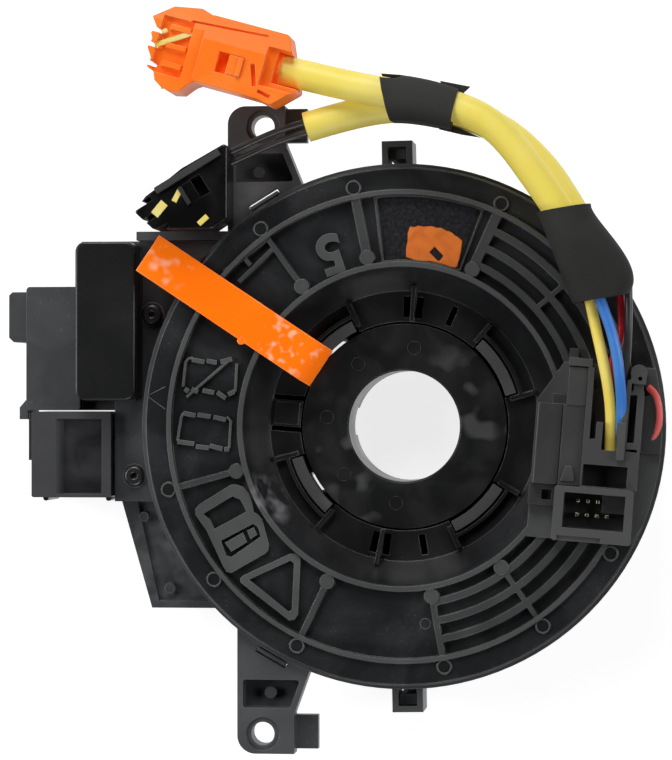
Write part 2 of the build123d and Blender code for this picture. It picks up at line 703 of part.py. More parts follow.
def rotor_connector():
    """Connector on the disc: plug socket, hollow, wire well, channels, thin wall and a lifting lug."""
    x, y = socket_centre
    low, high = x - socket_width / 2, x + socket_width / 2
    bottom, top = y - socket_depth / 2, y + socket_depth / 2
    body = block(body_x, body_y, (ridge_top, connector_top))
    body += block((body_x[0], body_x[0] + body_wall), (body_y[1] - 1, wing_top), (ridge_top, connector_top))
    socket = block((low - socket_wall - 0.2, high + socket_wall - 0.2),
                   (bottom - socket_foot, top + socket_bridge), (ridge_top, socket_top))
    socket = fillet(socket.edges().filter_by(Axis.Z), 0.6)
    body += socket
    body &= Pos(0, 0, connector_top / 2) * Cylinder(rotor_radius - 0.2, 60)
    body += sector(body_x[1] - 0.5, rotor_radius - 0.2, -1.6, 11.6, ridge_top, ridge_top + 1.6)
    # socket mouth with a keying block, and a notch in its foot
    body -= block((low, high), (bottom, top), (well_floor, socket_top + 1))
    body += block((x + 1.6, high), (y - 0.2, top), (well_floor, well_floor + 2.6))
    body -= block((low - 1, x + 1.8), (bottom - socket_foot - 1, bottom - socket_foot + 1.1),
                  (socket_top - 0.5, socket_top + 1))
    # hollow behind the socket
    above = (well_floor, connector_top + 1)
    body -= block((body_x[0] + 0.4, 48.65), (top + socket_bridge + 0.3, -4.7), above)
    # well and channels of the wires, and the narrow slot beside them
    body -= block((body_x[0] + body_wall, bar_x[1] - 1.1), (4.3, body_y[1] + 1), above)
    body -= block((body_x[0] + body_wall, 41.4), (0.7, 4.4), (well_floor, connector_top + 1))
    body -= block(channel_x, (-1.5, 4.4), (well_floor, connector_top + 1))
    body -= block(slot_x, (0.4, 10.5), (well_floor, connector_top + 1))
    body -= block((slot_x[0] - 0.2, body_x[1] - 0.6), (-1.5, -0.9), (connector_top - 1, connector_top + 1))
    # taller bar beside the yellow wire, the thin wall above it, and the lug
    body += block(bar_x, (-3.3, 4.5), (connector_top - 0.5, connector_top + 1.0))
    body += rib((bar_x[1] - 0.55, 4.2), (bar_x[1] + 0.1, 13.6), 1.0, ridge_top, connector_top + 0.7)
    lug = peg((49.5, 15.2), 1.75, ridge_top, connector_top + 0.6)
    lug += block(lug_x, (12.9, 15.2), (ridge_top, connector_top + 0.6))
    lug += block((48.6, 50.7), (body_y[1] - 0.2, 13.0), (ridge_top, connector_top))
    lug -= peg((49.8, 14.0), 0.45, connector_top - 1, connector_top + 2)
    body += lug
    for pin_x, pin_y in socket_pins():
        body -= peg_square(pin_x, pin_y, well_floor - 1, well_floor + 1, pin_side)
    return body


def socket_pins():
    """Plan places of the pins in the plug socket: four below, three beside the keying block."""
    x, y = socket_centre
    first = x - socket_width / 2 + 2.9
    low, high = terminal_rows
    return ([(first + step * terminal_pitch, y + low) for step in range(4)]
            + [(first + step * terminal_pitch, y + high) for step in range(3)])


def rotor_terminals():
    """Pins of the plug socket."""
    return together([peg_square(x, y, well_floor - 1, well_floor + 3.4, pin_side)
                     for x, y in socket_pins()])


def connector_cover():
    """Cover beside the connector, with a latch at its upper end."""
    right = body_x[0] - 0.05
    split = 34.2
    low = body_y[0] + 0.15
    cover = block((28.75, split), (low, 7.5), (ridge_top, cover_top))
    cover += block((split, right), (low, 7.5), (ridge_top, cover_top + 0.7))
    cover = fillet(cover.faces().sort_by(Axis.X)[0].edges().sort_by(Axis.Z)[-1], 0.6)
    cover += block((28.2, 33.7), (-14.1, low + 0.3), (ridge_top, ridge_top + 2.0))
    cover -= block((31.0, 33.1), (-12.9, -10.7), (ridge_top + 0.8, cover_top))
    cover += prism([(34.8, -8.6), (37.6, -8.6), (36.9, -5.4), (35.7, -5.4)], cover_top, cover_top + 1.1)
    # latch: pillar, ledge and upright bar
    cover += block((34.9, right), (7.5, 15.4), (ridge_top, cover_top + 1.0))
    cover += block((34.7, right + 0.8), (15.7, 17.4), (ridge_top, connector_top))
    cover += block((34.7, right), (15.2, 15.8), (ridge_top, cover_top))
    cover += block((34.7, 36.6), (17.2, 19.3), (ridge_top, cover_top))
    cover += block((31.8, 34.95), (7.4, 9.6), (ridge_top, cover_top - 0.8))
    cover -= block((split - 0.15, split + 0.1), (low - 1, 7.5), (cover_top - 0.3, cover_top + 2))
    return cover


def rotor_lead_block():
    """Block that clamps the inner end of the flat cable in the drum wall."""
    half = lead_window_width / 2 - 0.02
    return Rot(0, 0, lead_slot_angle) * block((hub_inner - 2.4, hub_radius - 0.2), (-half, half),
                                              (cable_bottom + 0.02, lead_window_top - 0.02))


def centre_mark():
    """Painted patch that shows the centred position through the window."""
    low = face_floor - window_depth
    return prism([(-2.2, 43.3), (-2.2, 36.3), (8.7, 35.4), (10.2, 41.4), (8.1, 43.4)], low, low + 0.3, 0.8)


strip_middle = (-35.9, 24.8)
strip_angle = -33.7
strip_length = 44.8
strip_width = 9.1
strip_thickness = 0.4
strip_bend = 5.0
strip_drop = 2.6


def lock_strip():
    """Bonded shipping strip that lies on the ridges, with its inner end curled down."""
    end = strip_length / 2
    bend = end - strip_bend
    low, high = ridge_top, ridge_top + strip_thickness
    middle = bend + 0.55 * strip_bend
    outline = Polyline((bend, low), (-end, low), (-end, high), (bend, high))
    outline += ThreePointArc((bend, high), (middle, high - 0.25 * strip_drop), (end, high - strip_drop))
    outline += Line((end, high - strip_drop), (end - strip_thickness, high - strip_drop))
    outline += ThreePointArc((end - strip_thickness, high - strip_drop),
                             (middle - 0.2, low - 0.25 * strip_drop), (bend, low))
    film = extrude(Plane.XZ * make_face(outline), strip_width / 2, both=True)
    film -= peg((5.0, -strip_width / 2), 0.8, low - 1, high + 1)
    return Pos(*strip_middle, 0) * Rot(0, 0, strip_angle) * film


# ---------------------------------------------------------------------------
# Harness, which turns with the disc
# ---------------------------------------------------------------------------
harness_low = case_top + turn_gap
low_level = harness_low + tube_diameter / 2 + 0.55
ride_level = ridge_top + tube_diameter / 2 + 1.2
high_level = low_level + tube_diameter + 0.9

upper_route = [(-27.6, 76.4, low_level + 1.9), (-21.0, 74.85, low_level + 2.5),
               (-13.4, 73.4, low_level + 4.1), (-3.4, 71.6, low_level + 7.0), (6.8, 69.2, high_level + 0.3),
               (15.6, 65.9, high_level + 0.8), (24.0, 60.7, high_level + 1.2),
               (30.4, 54.3, high_level + 1.6), (35.0, 47.2, high_level + 1.8), (38.0, 40.2, high_level + 2.0)]
lower_route = [(-20.1, 63.8, low_level), (-11.2, 66.4, low_level), (-1.9, 68.0, low_level),
               (7.4, 67.6, low_level + 0.2), (15.6, 65.4, low_level + 0.7), (22.4, 61.2, low_level + 1.6),
               (27.4, 55.2, ride_level - 0.8), (31.0, 48.2, ride_level - 0.1), (34.0, 41.0, ride_level)]
yellow_route = [(39.9, 28.2, 34.4), (41.2, 22.0, 34.6), (42.7, 15.4, 34.4), (44.0, 8.8, 33.6),
                (44.6, 3.2, 31.9), (44.5, -1.6, 30.2), (44.35, -5.6, 29.8)]
blue_route = [(41.6, 28.6, 36.2), (44.2, 22.2, 36.4), (45.9, 15.6, 36.0), (46.6, 9.4, 35.0),
              (46.9, 4.4, 33.4), (46.85, 0.6, 31.9), (46.8, -1.8, 30.9)]
red_route = [(46.4, 29.4, 33.6), (47.0, 23.8, 33.4), (46.8, 18.6, 32.7), (44.9, 14.2, 31.5),
             (44.5, 9.4, 30.6), (45.0, 5.4, 29.7), (45.5, 2.6, 28.6), (45.7, 0.6, 28.0)]
black_route = [(48.3, 30.0, 34.5), (48.4, 24.4, 34.6), (48.2, 17.6, 34.0), (47.8, 11.6, 32.4),
               (47.1, 6.6, 30.9), (46.9, 2.6, 29.9), (46.9, -0.2, 29.5)]
loop_route = [(52.4, 8.4, 28.0), (54.0, 6.8, 28.5), (54.7, 4.2, 28.8), (54.8, 1.2, 28.6),
              (54.1, -1.6, 28.2), (52.6, -3.8, 27.6)]


def thin_routes():
    """Two thin leads side by side, from the end of the lower tube to the black plug."""
    start, following = Vector(*lower_route[0]), Vector(*lower_route[1])
    back = (start - following).normalized()
    side = Vector(-back.Y, back.X, 0)
    routes = []
    for step in (-1.1, 1.1):
        first = start + side * step
        second = first + back * 6.0
        third = Vector(-31.4, 59.9, low_level - 1.0) + side * step
        last = Vector(black_exit[0] - 1.5, black_exit[1] - 0.6, low_level - 1.2) + side * step
        routes.append([tuple(point) for point in (first, second, third, last)])
    return routes


def section_at(place, way, width, height):
    """Rounded section square to the way that the bundle runs, with its width level."""
    plane = Plane(origin=place, x_dir=(-way[1], way[0], 0), z_dir=way)
    return plane * RectangleRounded(width, height, 0.4 * min(width, height))


def upper_tape():
    """Tape wound round both tubes near the top."""
    sections = [section_at((-2.5, 69.5, 31.6), (0.96, 0.2, 0.05), 10.4, 14.4),
                section_at((4.6, 68.6, 31.9), (0.97, -0.2, 0.03), 9.2, 14.7),
                section_at((12.0, 66.7, 32.3), (0.97, -0.24, 0.0), 8.4, 14.8)]
    return loft(sections)


def lower_tape():
    """Tape wound round the ends of the tubes and the start of the wires."""
    sections = [section_at((34.9, 45.6, 34.6), (0.16, -0.987, 0.0), 11.4, 13.8),
                section_at((39.0, 37.6, 34.6), (0.3, -0.954, 0.0), 12.8, 13.6),
                section_at((42.0, 31.4, 34.6), (0.12, -0.993, 0.0), 14.6, 11.0),
                section_at((42.5, 26.8, 34.6), (0.17, -0.985, 0.0), 11.8, 8.4)]
    return loft(sections)


plug_rear = (-21.8, 74.8)
plug_angle = -15.5
plug_height = 12.4
plug_body = [(-20.6, 7.4), (-3.2, 7.4), (1.6, -3.6), (-3.1, -8.1), (-6.4, -7.5), (-20.6, -7.4)]
plug_head = [(-19.8, 7.2), (-22.8, 8.1), (-28.6, 7.0), (-32.4, 3.7), (-30.9, 1.7), (-31.8, 0.3),
             (-31.2, -0.9), (-31.7, -2.9), (-30.4, -4.9), (-30.8, -6.9), (-29.1, -7.6), (-28.4, -9.3),
             (-26.8, -10.3), (-25.0, -10.8), (-22.8, -10.3), (-21.0, -8.1), (-19.8, -7.3)]
plug_facet = (1.9, 2.6)  # where the slanted side of the plug starts, and how far it falls
trough_start = -4.4
recess_start = -6.6
plug_lock_y = -2.1
plug_lock_travel = 2.2
plug_lock_length = 3.2
plug_lock_width = 4.2
plug_lock_end = -10.9
lock_recess = 2.4
lock_play = 0.1


def orange_place():
    """Frame of the orange plug: its rear at the origin, and its lead along +X."""
    return Pos(*plug_rear, harness_low) * Rot(0, 0, plug_angle)


def orange_plug():
    """Airbag plug: slanted side, slanted rear with the trough of its lead, lobed head and lock bed."""
    body = prism(plug_body, 0.8, plug_height, 1.0)
    head = prism(plug_head, 0, plug_height - 0.8, 0.25)
    for y in (-6.0, -2.0, 1.2):
        head -= block((-34, -28.6), (y - 0.5, y + 0.5), (1.5, plug_height + 1))
    head -= block((-30, -23.2), (-7.6, 4.6), (plug_height - 2.2, plug_height + 1))
    for y in (-5.4, -1.4, 2.6):
        head += block((-28.0, -23.6), (y - 0.6, y + 0.6), (plug_height - 2.4, plug_height - 1.2))
    body += head
    # slanted side, with its groove
    start, fall = plug_facet
    wide = 9.0
    drop = fall * (wide - start) / (plug_body[0][1] - start)
    wedge = Polyline((start, plug_height), (wide, plug_height - drop), (wide, plug_height + 1),
                     (start, plug_height + 1), close=True)
    body -= Pos(-33.0, 0, 0) * extrude(Plane.YZ * make_face(wedge), 36.0)
    body -= rib((-24.0, 4.8), (-7.4, 5.9), 0.4, plug_height - 2.4, plug_height + 1)
    # lead trough in a shallow recess, and two short slots
    half = tube_diameter / 2 + 0.15
    body -= block((recess_start, 3), (-4.6, 3.8), (plug_height - 1.9, plug_height + 1))
    body -= block((trough_start, 3), (-half, half), (upper_route[0][2] - harness_low, plug_height + 1))
    body -= rib((-8.9, -0.7), (-7.4, -5.1), 0.9, plug_height - 1.8, plug_height + 1)
    body -= rib((-6.4, -5.9), (-3.6, -6.5), 0.7, plug_height - 0.9, plug_height + 1)
    half = plug_lock_width / 2 + lock_play
    start = plug_lock_end - plug_lock_length - plug_lock_travel - lock_play
    bed = block((start, plug_lock_end + lock_play), (plug_lock_y - half, plug_lock_y + half),
                (plug_height - lock_recess, plug_height + 1))
    return orange_place() * (body - bed)


def orange_plug_lock():
    """Lock slide of the orange plug, with a raised finger edge."""
    sides = (plug_lock_y - plug_lock_width / 2, plug_lock_y + plug_lock_width / 2)
    low = plug_height - lock_recess
    slide = block((plug_lock_end - plug_lock_length, plug_lock_end), sides, (low, plug_height))
    slide += block((plug_lock_end - 0.9, plug_lock_end), sides, (low, plug_height + 0.5))
    return orange_place() * slide


black_outline = [(-56.3, 45.6), (-53.9, 48.9), (-50.1, 51.7), (-46.2, 54.8), (-36.3, 60.4), (-36.3, 44.0),
                 (-39.5, 41.9), (-52.2, 41.9)]
black_height = 10.0
black_exit = (-36.3, 57.6)
black_middle = (-45.4, 49.0)
black_axis = 32.0


def black_place():
    """Frame of the lock of the black plug, with its lead along +X."""
    return Pos(*black_middle, harness_low) * Rot(0, 0, black_axis)


def black_plug():
    """Second airbag plug: slanted outline, raised edge rail and ribbed nose."""
    body = prism(black_outline, harness_low, harness_low + black_height, 0.8)
    body = fillet(body.faces().sort_by(Axis.Z)[-1].edges(), 0.5)
    top = harness_low + black_height
    body += rib((-51.6, 50.0), (-38.0, 58.2), 1.4, top - 1, top + 0.7)
    half = plug_lock_width / 2 + lock_play
    bed = block((-0.5 - lock_play, 2.7 + plug_lock_travel + lock_play), (-half, half),
                (black_height - lock_recess, black_height + 1))
    body -= black_place() * bed
    for step in (-3.4, 0.0, 3.4):
        cut = block((-13.0, -6.4), (step - 0.5, step + 0.5), (2.0, black_height + 2))
        body -= black_place() * cut
    return body


def black_plug_lock():
    """Lock slide of the black plug."""
    half = plug_lock_width / 2
    low = black_height - lock_recess
    slide = block((-0.5, 2.7), (-half, half), (low, black_height))
    slide += block((-0.5, 0.4), (-half, half), (low, black_height + 0.5))
    return black_place() * slide


# ---------------------------------------------------------------------------
# Assembly
# ---------------------------------------------------------------------------
parts = {
    "stator_case": stator_case(),
    "stator_base": stator_base(),
    "sensor_cover": sensor_cover(),
    "terminal_board": terminal_board(),
    "column_connector": column_connector(),
    "column_pins": column_pins(),
    "sensor_connector": sensor_connector(),
    "sensor_pins": sensor_pins(),
    "case_screws": case_screws(),
    "stator_lead_block": stator_lead_block(),
    "flat_cable": flat_cable(),
    "carrier_ring": carrier_ring(),
}
for index in range(roller_count):
    parts[f"roller_{index + 1}"] = roller(index)

turning = {
    "rotor_disc": rotor_disc(),
    "rotor_sleeve": rotor_sleeve(),
    "rotor_connector": rotor_connector(),
    "rotor_terminals": rotor_terminals(),
    "connector_cover": connector_cover(),
    "rotor_lead_block": rotor_lead_block(),
    "centre_mark": centre_mark(),
}
for name, shape in turning.items():
    parts[name] = Rot(0, 0, rotor_angle) * shape

parts["lock_strip"] = lock_strip()
parts["upper_lead"] = cord(upper_route, tube_diameter, "upper_lead")
parts["lower_lead"] = cord(lower_route, tube_diameter, "lower_lead")
parts["yellow_wire"] = cord(yellow_route, wire_diameter, "yellow_wire")
parts["blue_wire"] = cord(blue_route, wire_diameter, "blue_wire")
parts["red_wire"] = cord(red_route, small_wire_diameter, "red_wire")
parts["black_wire"] = cord(black_route, small_wire_diameter, "black_wire")
parts["red_loop"] = cord(loop_route, thin_wire_diameter, "red_loop")
thin = [cord(route, thin_wire_diameter, "plug_wires") for route in thin_routes()]
parts["plug_wires"] = together(thin)
wires = [parts[name] for name in ("yellow_wire", "blue_wire", "red_wire", "black_wire")]

# what the leads pass through or end in is cut by them
parts["upper_tape"] = upper_tape() - parts["upper_lead"] - parts["lower_lead"]
wrap = lower_tape() - parts["upper_lead"] - parts["lower_lead"]
for wire in wires:
    wrap -= wire
    parts["rotor_connector"] -= wire
parts["lower_tape"] = wrap
parts["rotor_connector"] -= parts["red_loop"]
parts["orange_plug"] = orange_plug() - parts["upper_lead"]
parts["orange_plug_lock"] = orange_plug_lock()
plug = black_plug()
for wire in thin:
    plug -= wire
parts["black_plug"] = plug
parts["black_plug_lock"] = black_plug_lock()

for name, shape in parts.items():
    export_step(shape, f"parts/{name}.step")
    print(name, "solids", len(shape.solids()), "valid", all(s.is_valid for s in shape.solids()))
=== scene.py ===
import bmesh
import bpy
import math
from mathutils import Matrix, Vector


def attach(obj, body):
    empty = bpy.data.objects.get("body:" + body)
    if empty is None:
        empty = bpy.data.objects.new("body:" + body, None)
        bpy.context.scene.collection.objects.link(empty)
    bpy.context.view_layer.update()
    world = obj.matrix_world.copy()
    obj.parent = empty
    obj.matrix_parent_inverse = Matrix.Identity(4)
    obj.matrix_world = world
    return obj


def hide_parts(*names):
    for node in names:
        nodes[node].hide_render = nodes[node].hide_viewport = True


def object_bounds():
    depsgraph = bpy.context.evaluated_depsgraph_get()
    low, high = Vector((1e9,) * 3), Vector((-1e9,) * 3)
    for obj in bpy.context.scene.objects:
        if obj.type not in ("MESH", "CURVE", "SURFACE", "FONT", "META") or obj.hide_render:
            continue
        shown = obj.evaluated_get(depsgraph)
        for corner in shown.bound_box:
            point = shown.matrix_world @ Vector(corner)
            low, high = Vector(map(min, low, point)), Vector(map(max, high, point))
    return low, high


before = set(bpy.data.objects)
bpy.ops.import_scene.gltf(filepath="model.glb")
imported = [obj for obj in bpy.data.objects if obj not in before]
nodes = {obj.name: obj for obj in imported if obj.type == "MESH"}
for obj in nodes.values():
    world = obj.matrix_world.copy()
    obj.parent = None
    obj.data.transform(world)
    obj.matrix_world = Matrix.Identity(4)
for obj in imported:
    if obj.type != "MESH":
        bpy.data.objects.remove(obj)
cad_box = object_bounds()

# ---------------------------------------------------------------- case
# The fixed case: drum wall, screw ears, clip loops and side plates, with the back that snaps on to it, the
# clamp of the cable's outer end and the connector to the column.
# Satin black plastic, injection moulded. Flow marks and fine grain show on it, and its edges and high faces
# carry a painted highlight.


def new_group(name, inputs, outputs):
    """An empty shader group with named sockets."""
    group = bpy.data.node_groups.new(name, "ShaderNodeTree")
    for label, kind, value in inputs:
        socket = group.interface.new_socket(label, in_out="INPUT", socket_type="NodeSocket" + kind)
        socket.default_value = value
    for label, kind in outputs:
        group.interface.new_socket(label, in_out="OUTPUT", socket_type="NodeSocket" + kind)
    return group, group.nodes.new("NodeGroupInput"), group.nodes.new("NodeGroupOutput")


def ramped(tree, source, low, high):
    """A value stretched to 0 to 1 between two limits, which may be sockets."""
    ramp = tree.nodes.new("ShaderNodeMapRange")
    tree.links.new(source, ramp.inputs["Value"])
    for label, limit in (("From Min", low), ("From Max", high)):
        if isinstance(limit, float):
            ramp.inputs[label].default_value = limit
        else:
            tree.links.new(limit, ramp.inputs[label])
    return ramp.outputs["Result"]


def reckoned(tree, operation, *terms):
    """A math node on sockets or numbers."""
    node = tree.nodes.new("ShaderNodeMath")
    node.operation = operation
    for socket, term in zip(node.inputs, terms):
        if isinstance(term, float):
            socket.default_value = term
        else:
            tree.links.new(term, socket)
    return node.outputs["Value"]


def blended(tree, share, below, above):
    """Two colours mixed by a mask."""
    node = tree.nodes.new("ShaderNodeMix")
    node.data_type = "RGBA"
    for label, source in (("Factor", share), ("A", below), ("B", above)):
        if isinstance(source, tuple):
            node.inputs[label].default_value = source
        else:
            tree.links.new(source, node.inputs[label])
    return node.outputs["Result"]


def moulded_surface():
    """Grain, flow marks, a painted highlight on edges and high faces (partly wear, and the high faces
    rougher), and dust, over the piece's own coordinates.
    """
    group, start, end = new_group("moulded_surface", [
        ("Colour", "Color", (0.02, 0.02, 0.02, 1)), ("Marked", "Color", (0.04, 0.04, 0.04, 1)),
        ("Worn", "Color", (0.1, 0.1, 0.1, 1)), ("Roughness", "Float", 0.4), ("Spread", "Float", 0.12),
        ("Grain", "Float", 2600.0), ("Flow", "Float", 60.0), ("Edges", "Float", 0.5), ("Tops", "Float", 0.0),
        ("Tops from", "Float", 0.02), ("Tops full", "Float", 0.03), ("Dust", "Float", 0.0),
        ("Rounded", "Vector", (0, 0, 1))],
        [("Colour", "Color"), ("Roughness", "Float"), ("Height", "Float")])
    link = group.links.new
    place = group.nodes.new("ShaderNodeTexCoord").outputs["Object"]
    noises = []
    for scale, detail, warp in (("Grain", 3, 0.0), ("Flow", 4, 0.6)):
        noise = group.nodes.new("ShaderNodeTexNoise")
        noise.inputs["Detail"].default_value = detail
        noise.inputs["Distortion"].default_value = warp
        link(place, noise.inputs["Vector"])
        link(start.outputs[scale], noise.inputs["Scale"])
        noises.append(noise.outputs["Fac"])
    grain, flow = noises
    colour = blended(group, ramped(group, flow, 0.42, 0.72), start.outputs["Colour"], start.outputs["Marked"])

    surface = group.nodes.new("ShaderNodeNewGeometry").outputs["Normal"]
    meet = group.nodes.new("ShaderNodeVectorMath")
    meet.operation = "DOT_PRODUCT"
    link(surface, meet.inputs[0])
    link(start.outputs["Rounded"], meet.inputs[1])
    edge = ramped(group, meet.outputs["Value"], 0.998, 0.9)
    edge = reckoned(group, "MULTIPLY", edge, start.outputs["Edges"])
    edge = reckoned(group, "MULTIPLY", edge, ramped(group, flow, 0.3, 0.55))
    split = group.nodes.new("ShaderNodeSeparateXYZ")
    link(place, split.inputs["Vector"])
    tops = ramped(group, split.outputs["Z"], start.outputs["Tops from"], start.outputs["Tops full"])
    tops = reckoned(group, "MULTIPLY", tops, start.outputs["Tops"])
    # Painted highlight, partly wear: edges, found where the rounded normal leaves the true one, and high
    # faces are blended towards the edge colour; below, the high faces are also made rougher.
    wear_and_sheen = reckoned(group, "MAXIMUM", edge, tops)
    colour = blended(group, wear_and_sheen, colour, start.outputs["Worn"])

    specks = group.nodes.new("ShaderNodeTexNoise")
    specks.inputs["Scale"].default_value = 1500.0
    specks.inputs["Detail"].default_value = 1
    link(place, specks.inputs["Vector"])
    dust = ramped(group, specks.outputs["Fac"], 0.66, 0.74)
    dust = reckoned(group, "MULTIPLY", dust, start.outputs["Dust"])
    dust = reckoned(group, "MULTIPLY", dust, ramped(group, flow, 0.4, 0.6))
    colour = blended(group, dust, colour, (0.2, 0.2, 0.19, 1))
    rough = reckoned(group, "MULTIPLY_ADD", flow, start.outputs["Spread"], start.outputs["Roughness"])
    rough = reckoned(group, "MULTIPLY_ADD", tops, 0.2, rough)
    link(colour, end.inputs["Colour"])
    link(rough, end.inputs["Roughness"])
    link(grain, end.inputs["Height"])
    return group


moulded_group = moulded_surface()


def moulded(name, colour, marked, roughness, bump=0.05, rounding=0.00022, specular=0.5, glow=0.0, **values):
    """A moulded finish: the surface group, a fine bump, and edges that catch the light."""
    made = bpy.data.materials.new(name)
    made.use_nodes = True
    tree = made.node_tree
    shader = tree.nodes["Principled BSDF"]
    surface = tree.nodes.new("ShaderNodeGroup")
    surface.node_tree = moulded_group
    surface.name = "surface"
    for label, value in dict(values, Colour=(*colour, 1), Marked=(*marked, 1), Roughness=roughness).items():
        socket = surface.inputs[label.replace("_", " ")]
        socket.default_value = (*value, 1) if label == "Worn" else value
    bevel = tree.nodes.new("ShaderNodeBevel")
    bevel.samples = 4
    bevel.inputs["Radius"].default_value = rounding
    tree.links.new(bevel.outputs["Normal"], surface.inputs["Rounded"])
    bumps = tree.nodes.new("ShaderNodeBump")
    bumps.name = "grain"
    bumps.inputs["Strength"].default_value = bump
    bumps.inputs["Distance"].default_value = 0.0002
    tree.links.new(bevel.outputs["Normal"], bumps.inputs["Normal"])
    tree.links.new(surface.outputs["Height"], bumps.inputs["Height"])
    tree.links.new(surface.outputs["Colour"], shader.inputs["Base Color"])
    tree.links.new(surface.outputs["Roughness"], shader.inputs["Roughness"])
    tree.links.new(bumps.outputs["Normal"], shader.inputs["Normal"])
    shader.inputs["Specular IOR Level"].default_value = specular
    # Painted glow: the piece gives off a faint light in its own colour, though it is no lamp.
    if glow:
        shader.inputs["Emission Color"].default_value = (*colour, 1)
        shader.inputs["Emission Strength"].default_value = glow
    return made


def spot_patches():
    """Mask of blotches or of one soft patch, within a reach of a place on the piece."""
    group, start, end = new_group("spot_patches", [
        ("Place", "Vector", (0, 0, 0)), ("Reach", "Float", 0.01), ("Scale", "Float", 300.0),
        ("From", "Float", 0.5), ("Full", "Float", 0.6)], [("Mask", "Float")])
    link = group.links.new
    place = group.nodes.new("ShaderNodeTexCoord").outputs["Object"]
    away = group.nodes.new("ShaderNodeVectorMath")
    away.operation = "DISTANCE"
    link(place, away.inputs[0])
    link(start.outputs["Place"], away.inputs[1])
    near = reckoned(group, "DIVIDE", away.outputs["Value"], start.outputs["Reach"])
    near = reckoned(group, "SUBTRACT", 1.0, near)
    near.node.use_clamp = True
    noise = group.nodes.new("ShaderNodeTexNoise")
    noise.inputs["Detail"].default_value = 1
    link(place, noise.inputs["Vector"])
    link(start.outputs["Scale"], noise.inputs["Scale"])
    spots = ramped(group, noise.outputs["Fac"], start.outputs["From"], start.outputs["Full"])
    link(reckoned(group, "MULTIPLY", spots, ramped(group, near, 0.0, 0.35)), end.inputs["Mask"])
    return group


spot_group = spot_patches()


def lay_spots(material, spots, colour, strength):
    """Lays spots of a colour over a finish. A spot is its place, reach, noise scale and two limits."""
    tree = material.node_tree
    shader = tree.nodes["Principled BSDF"]
    base = shader.inputs["Base Color"].links[0].from_socket
    for spot in spots:
        spot_node = tree.nodes.new("ShaderNodeGroup")
        spot_node.node_tree = spot_group
        for label, value in zip(("Place", "Reach", "Scale", "From", "Full"), spot):
            spot_node.inputs[label].default_value = value
        share = reckoned(tree, "MULTIPLY", spot_node.outputs["Mask"], strength)
        base = blended(tree, share, base, (*colour, 1))
    tree.links.new(base, shader.inputs["Base Color"])


def dress(material, *names):
    """Gives CAD nodes their finish."""
    for name in names:
        mesh = nodes[name].data
        mesh.materials.clear()
        mesh.materials.append(material)


case_black = moulded("case_black", (0.044, 0.047, 0.050), (0.066, 0.070, 0.075), 0.34,
                     Worn=(0.15, 0.155, 0.16), Edges=0.85, Tops=0.15, Tops_from=0.0200, Tops_full=0.0234,
                     Spread=0.2, Dust=0.2, Flow=90.0)
# Painted light: a pale patch on the floor of the upper ear's pocket stands for light falling in, and pale
# blotches on the ear's top are a painted highlight. The blotches on the lower plate are scuffs.
painted_pocket_light = ((-0.0315, 0.0545, 0.0195), 0.0085, 200.0, 0.0, 0.1)
painted_ear_highlight = ((-0.0345, 0.0455, 0.0230), 0.0100, 300.0, 0.3, 0.6)
low_plate_scuff = ((-0.0545, -0.0300, 0.0090), 0.0120, 260.0, 0.40, 0.75)
lay_spots(case_black, [painted_pocket_light, painted_ear_highlight, low_plate_scuff], (0.15, 0.15, 0.15), 0.7)
dress(case_black, "stator_case", "stator_base", "stator_lead_block", "column_connector")


def as_mesh(data, node_tree=None, **values):
    """Plain mesh of a curve, text or points, after a geometry node tree if one is given."""
    holder = bpy.data.objects.new("holder", data)
    bpy.context.scene.collection.objects.link(holder)
    if node_tree:
        modifier = holder.modifiers.new("made", "NODES")
        modifier.node_group = node_tree
        for item in node_tree.interface.items_tree:
            if item.in_out == "INPUT" and item.name in values:
                modifier[item.identifier] = values[item.name]
    mesh = bpy.data.meshes.new_from_object(holder.evaluated_get(bpy.context.evaluated_depsgraph_get()))
    bpy.data.objects.remove(holder)
    return mesh


def round_outline(x, y, radius, corners=24):
    """Outline of a disc."""
    turns = [2 * math.pi * index / corners for index in range(corners)]
    return [(x + radius * math.cos(turn), y + radius * math.sin(turn)) for turn in turns]


def stroke(points, width):
    """Closed outline of a bent line of that width."""
    left, right = [], []
    for index, (x, y) in enumerate(points):
        before = points[max(index - 1, 0)]
        after = points[min(index + 1, len(points) - 1)]
        along = Vector((after[0] - before[0], after[1] - before[1])).normalized() * width / 2
        left.append((x - along.y, y + along.x))
        right.append((x + along.y, y - along.x))
    return left + right[::-1]


def raised(loops, low, high, soft=0.06):
    """Mesh of a flat shape between two heights. Loops are outlines in millimetres, with holes inside."""
    shape = bpy.data.curves.new("outline", "CURVE")
    shape.dimensions = "2D"
    shape.fill_mode = "BOTH"
    for loop in loops:
        spline = shape.splines.new("POLY")
        spline.points.add(len(loop) - 1)
        for point, (x, y) in zip(spline.points, loop):
            point.co = (x / 1000, y / 1000, 0, 1)
        spline.use_cyclic_u = True
    return thick(shape, low, high, soft)


def thick(shape, low, high, soft, heavier=0.0):
    """Gives a flat curve or text its thickness and softened edges, as a mesh at its height."""
    shape.extrude = (high - low) / 2000 - soft / 1000
    shape.bevel_depth = soft / 1000
    shape.bevel_resolution = 1
    shape.offset = (heavier - soft) / 1000
    mesh = as_mesh(shape)
    mesh.transform(Matrix.Translation((0, 0, (low + high) / 2000)))
    return mesh


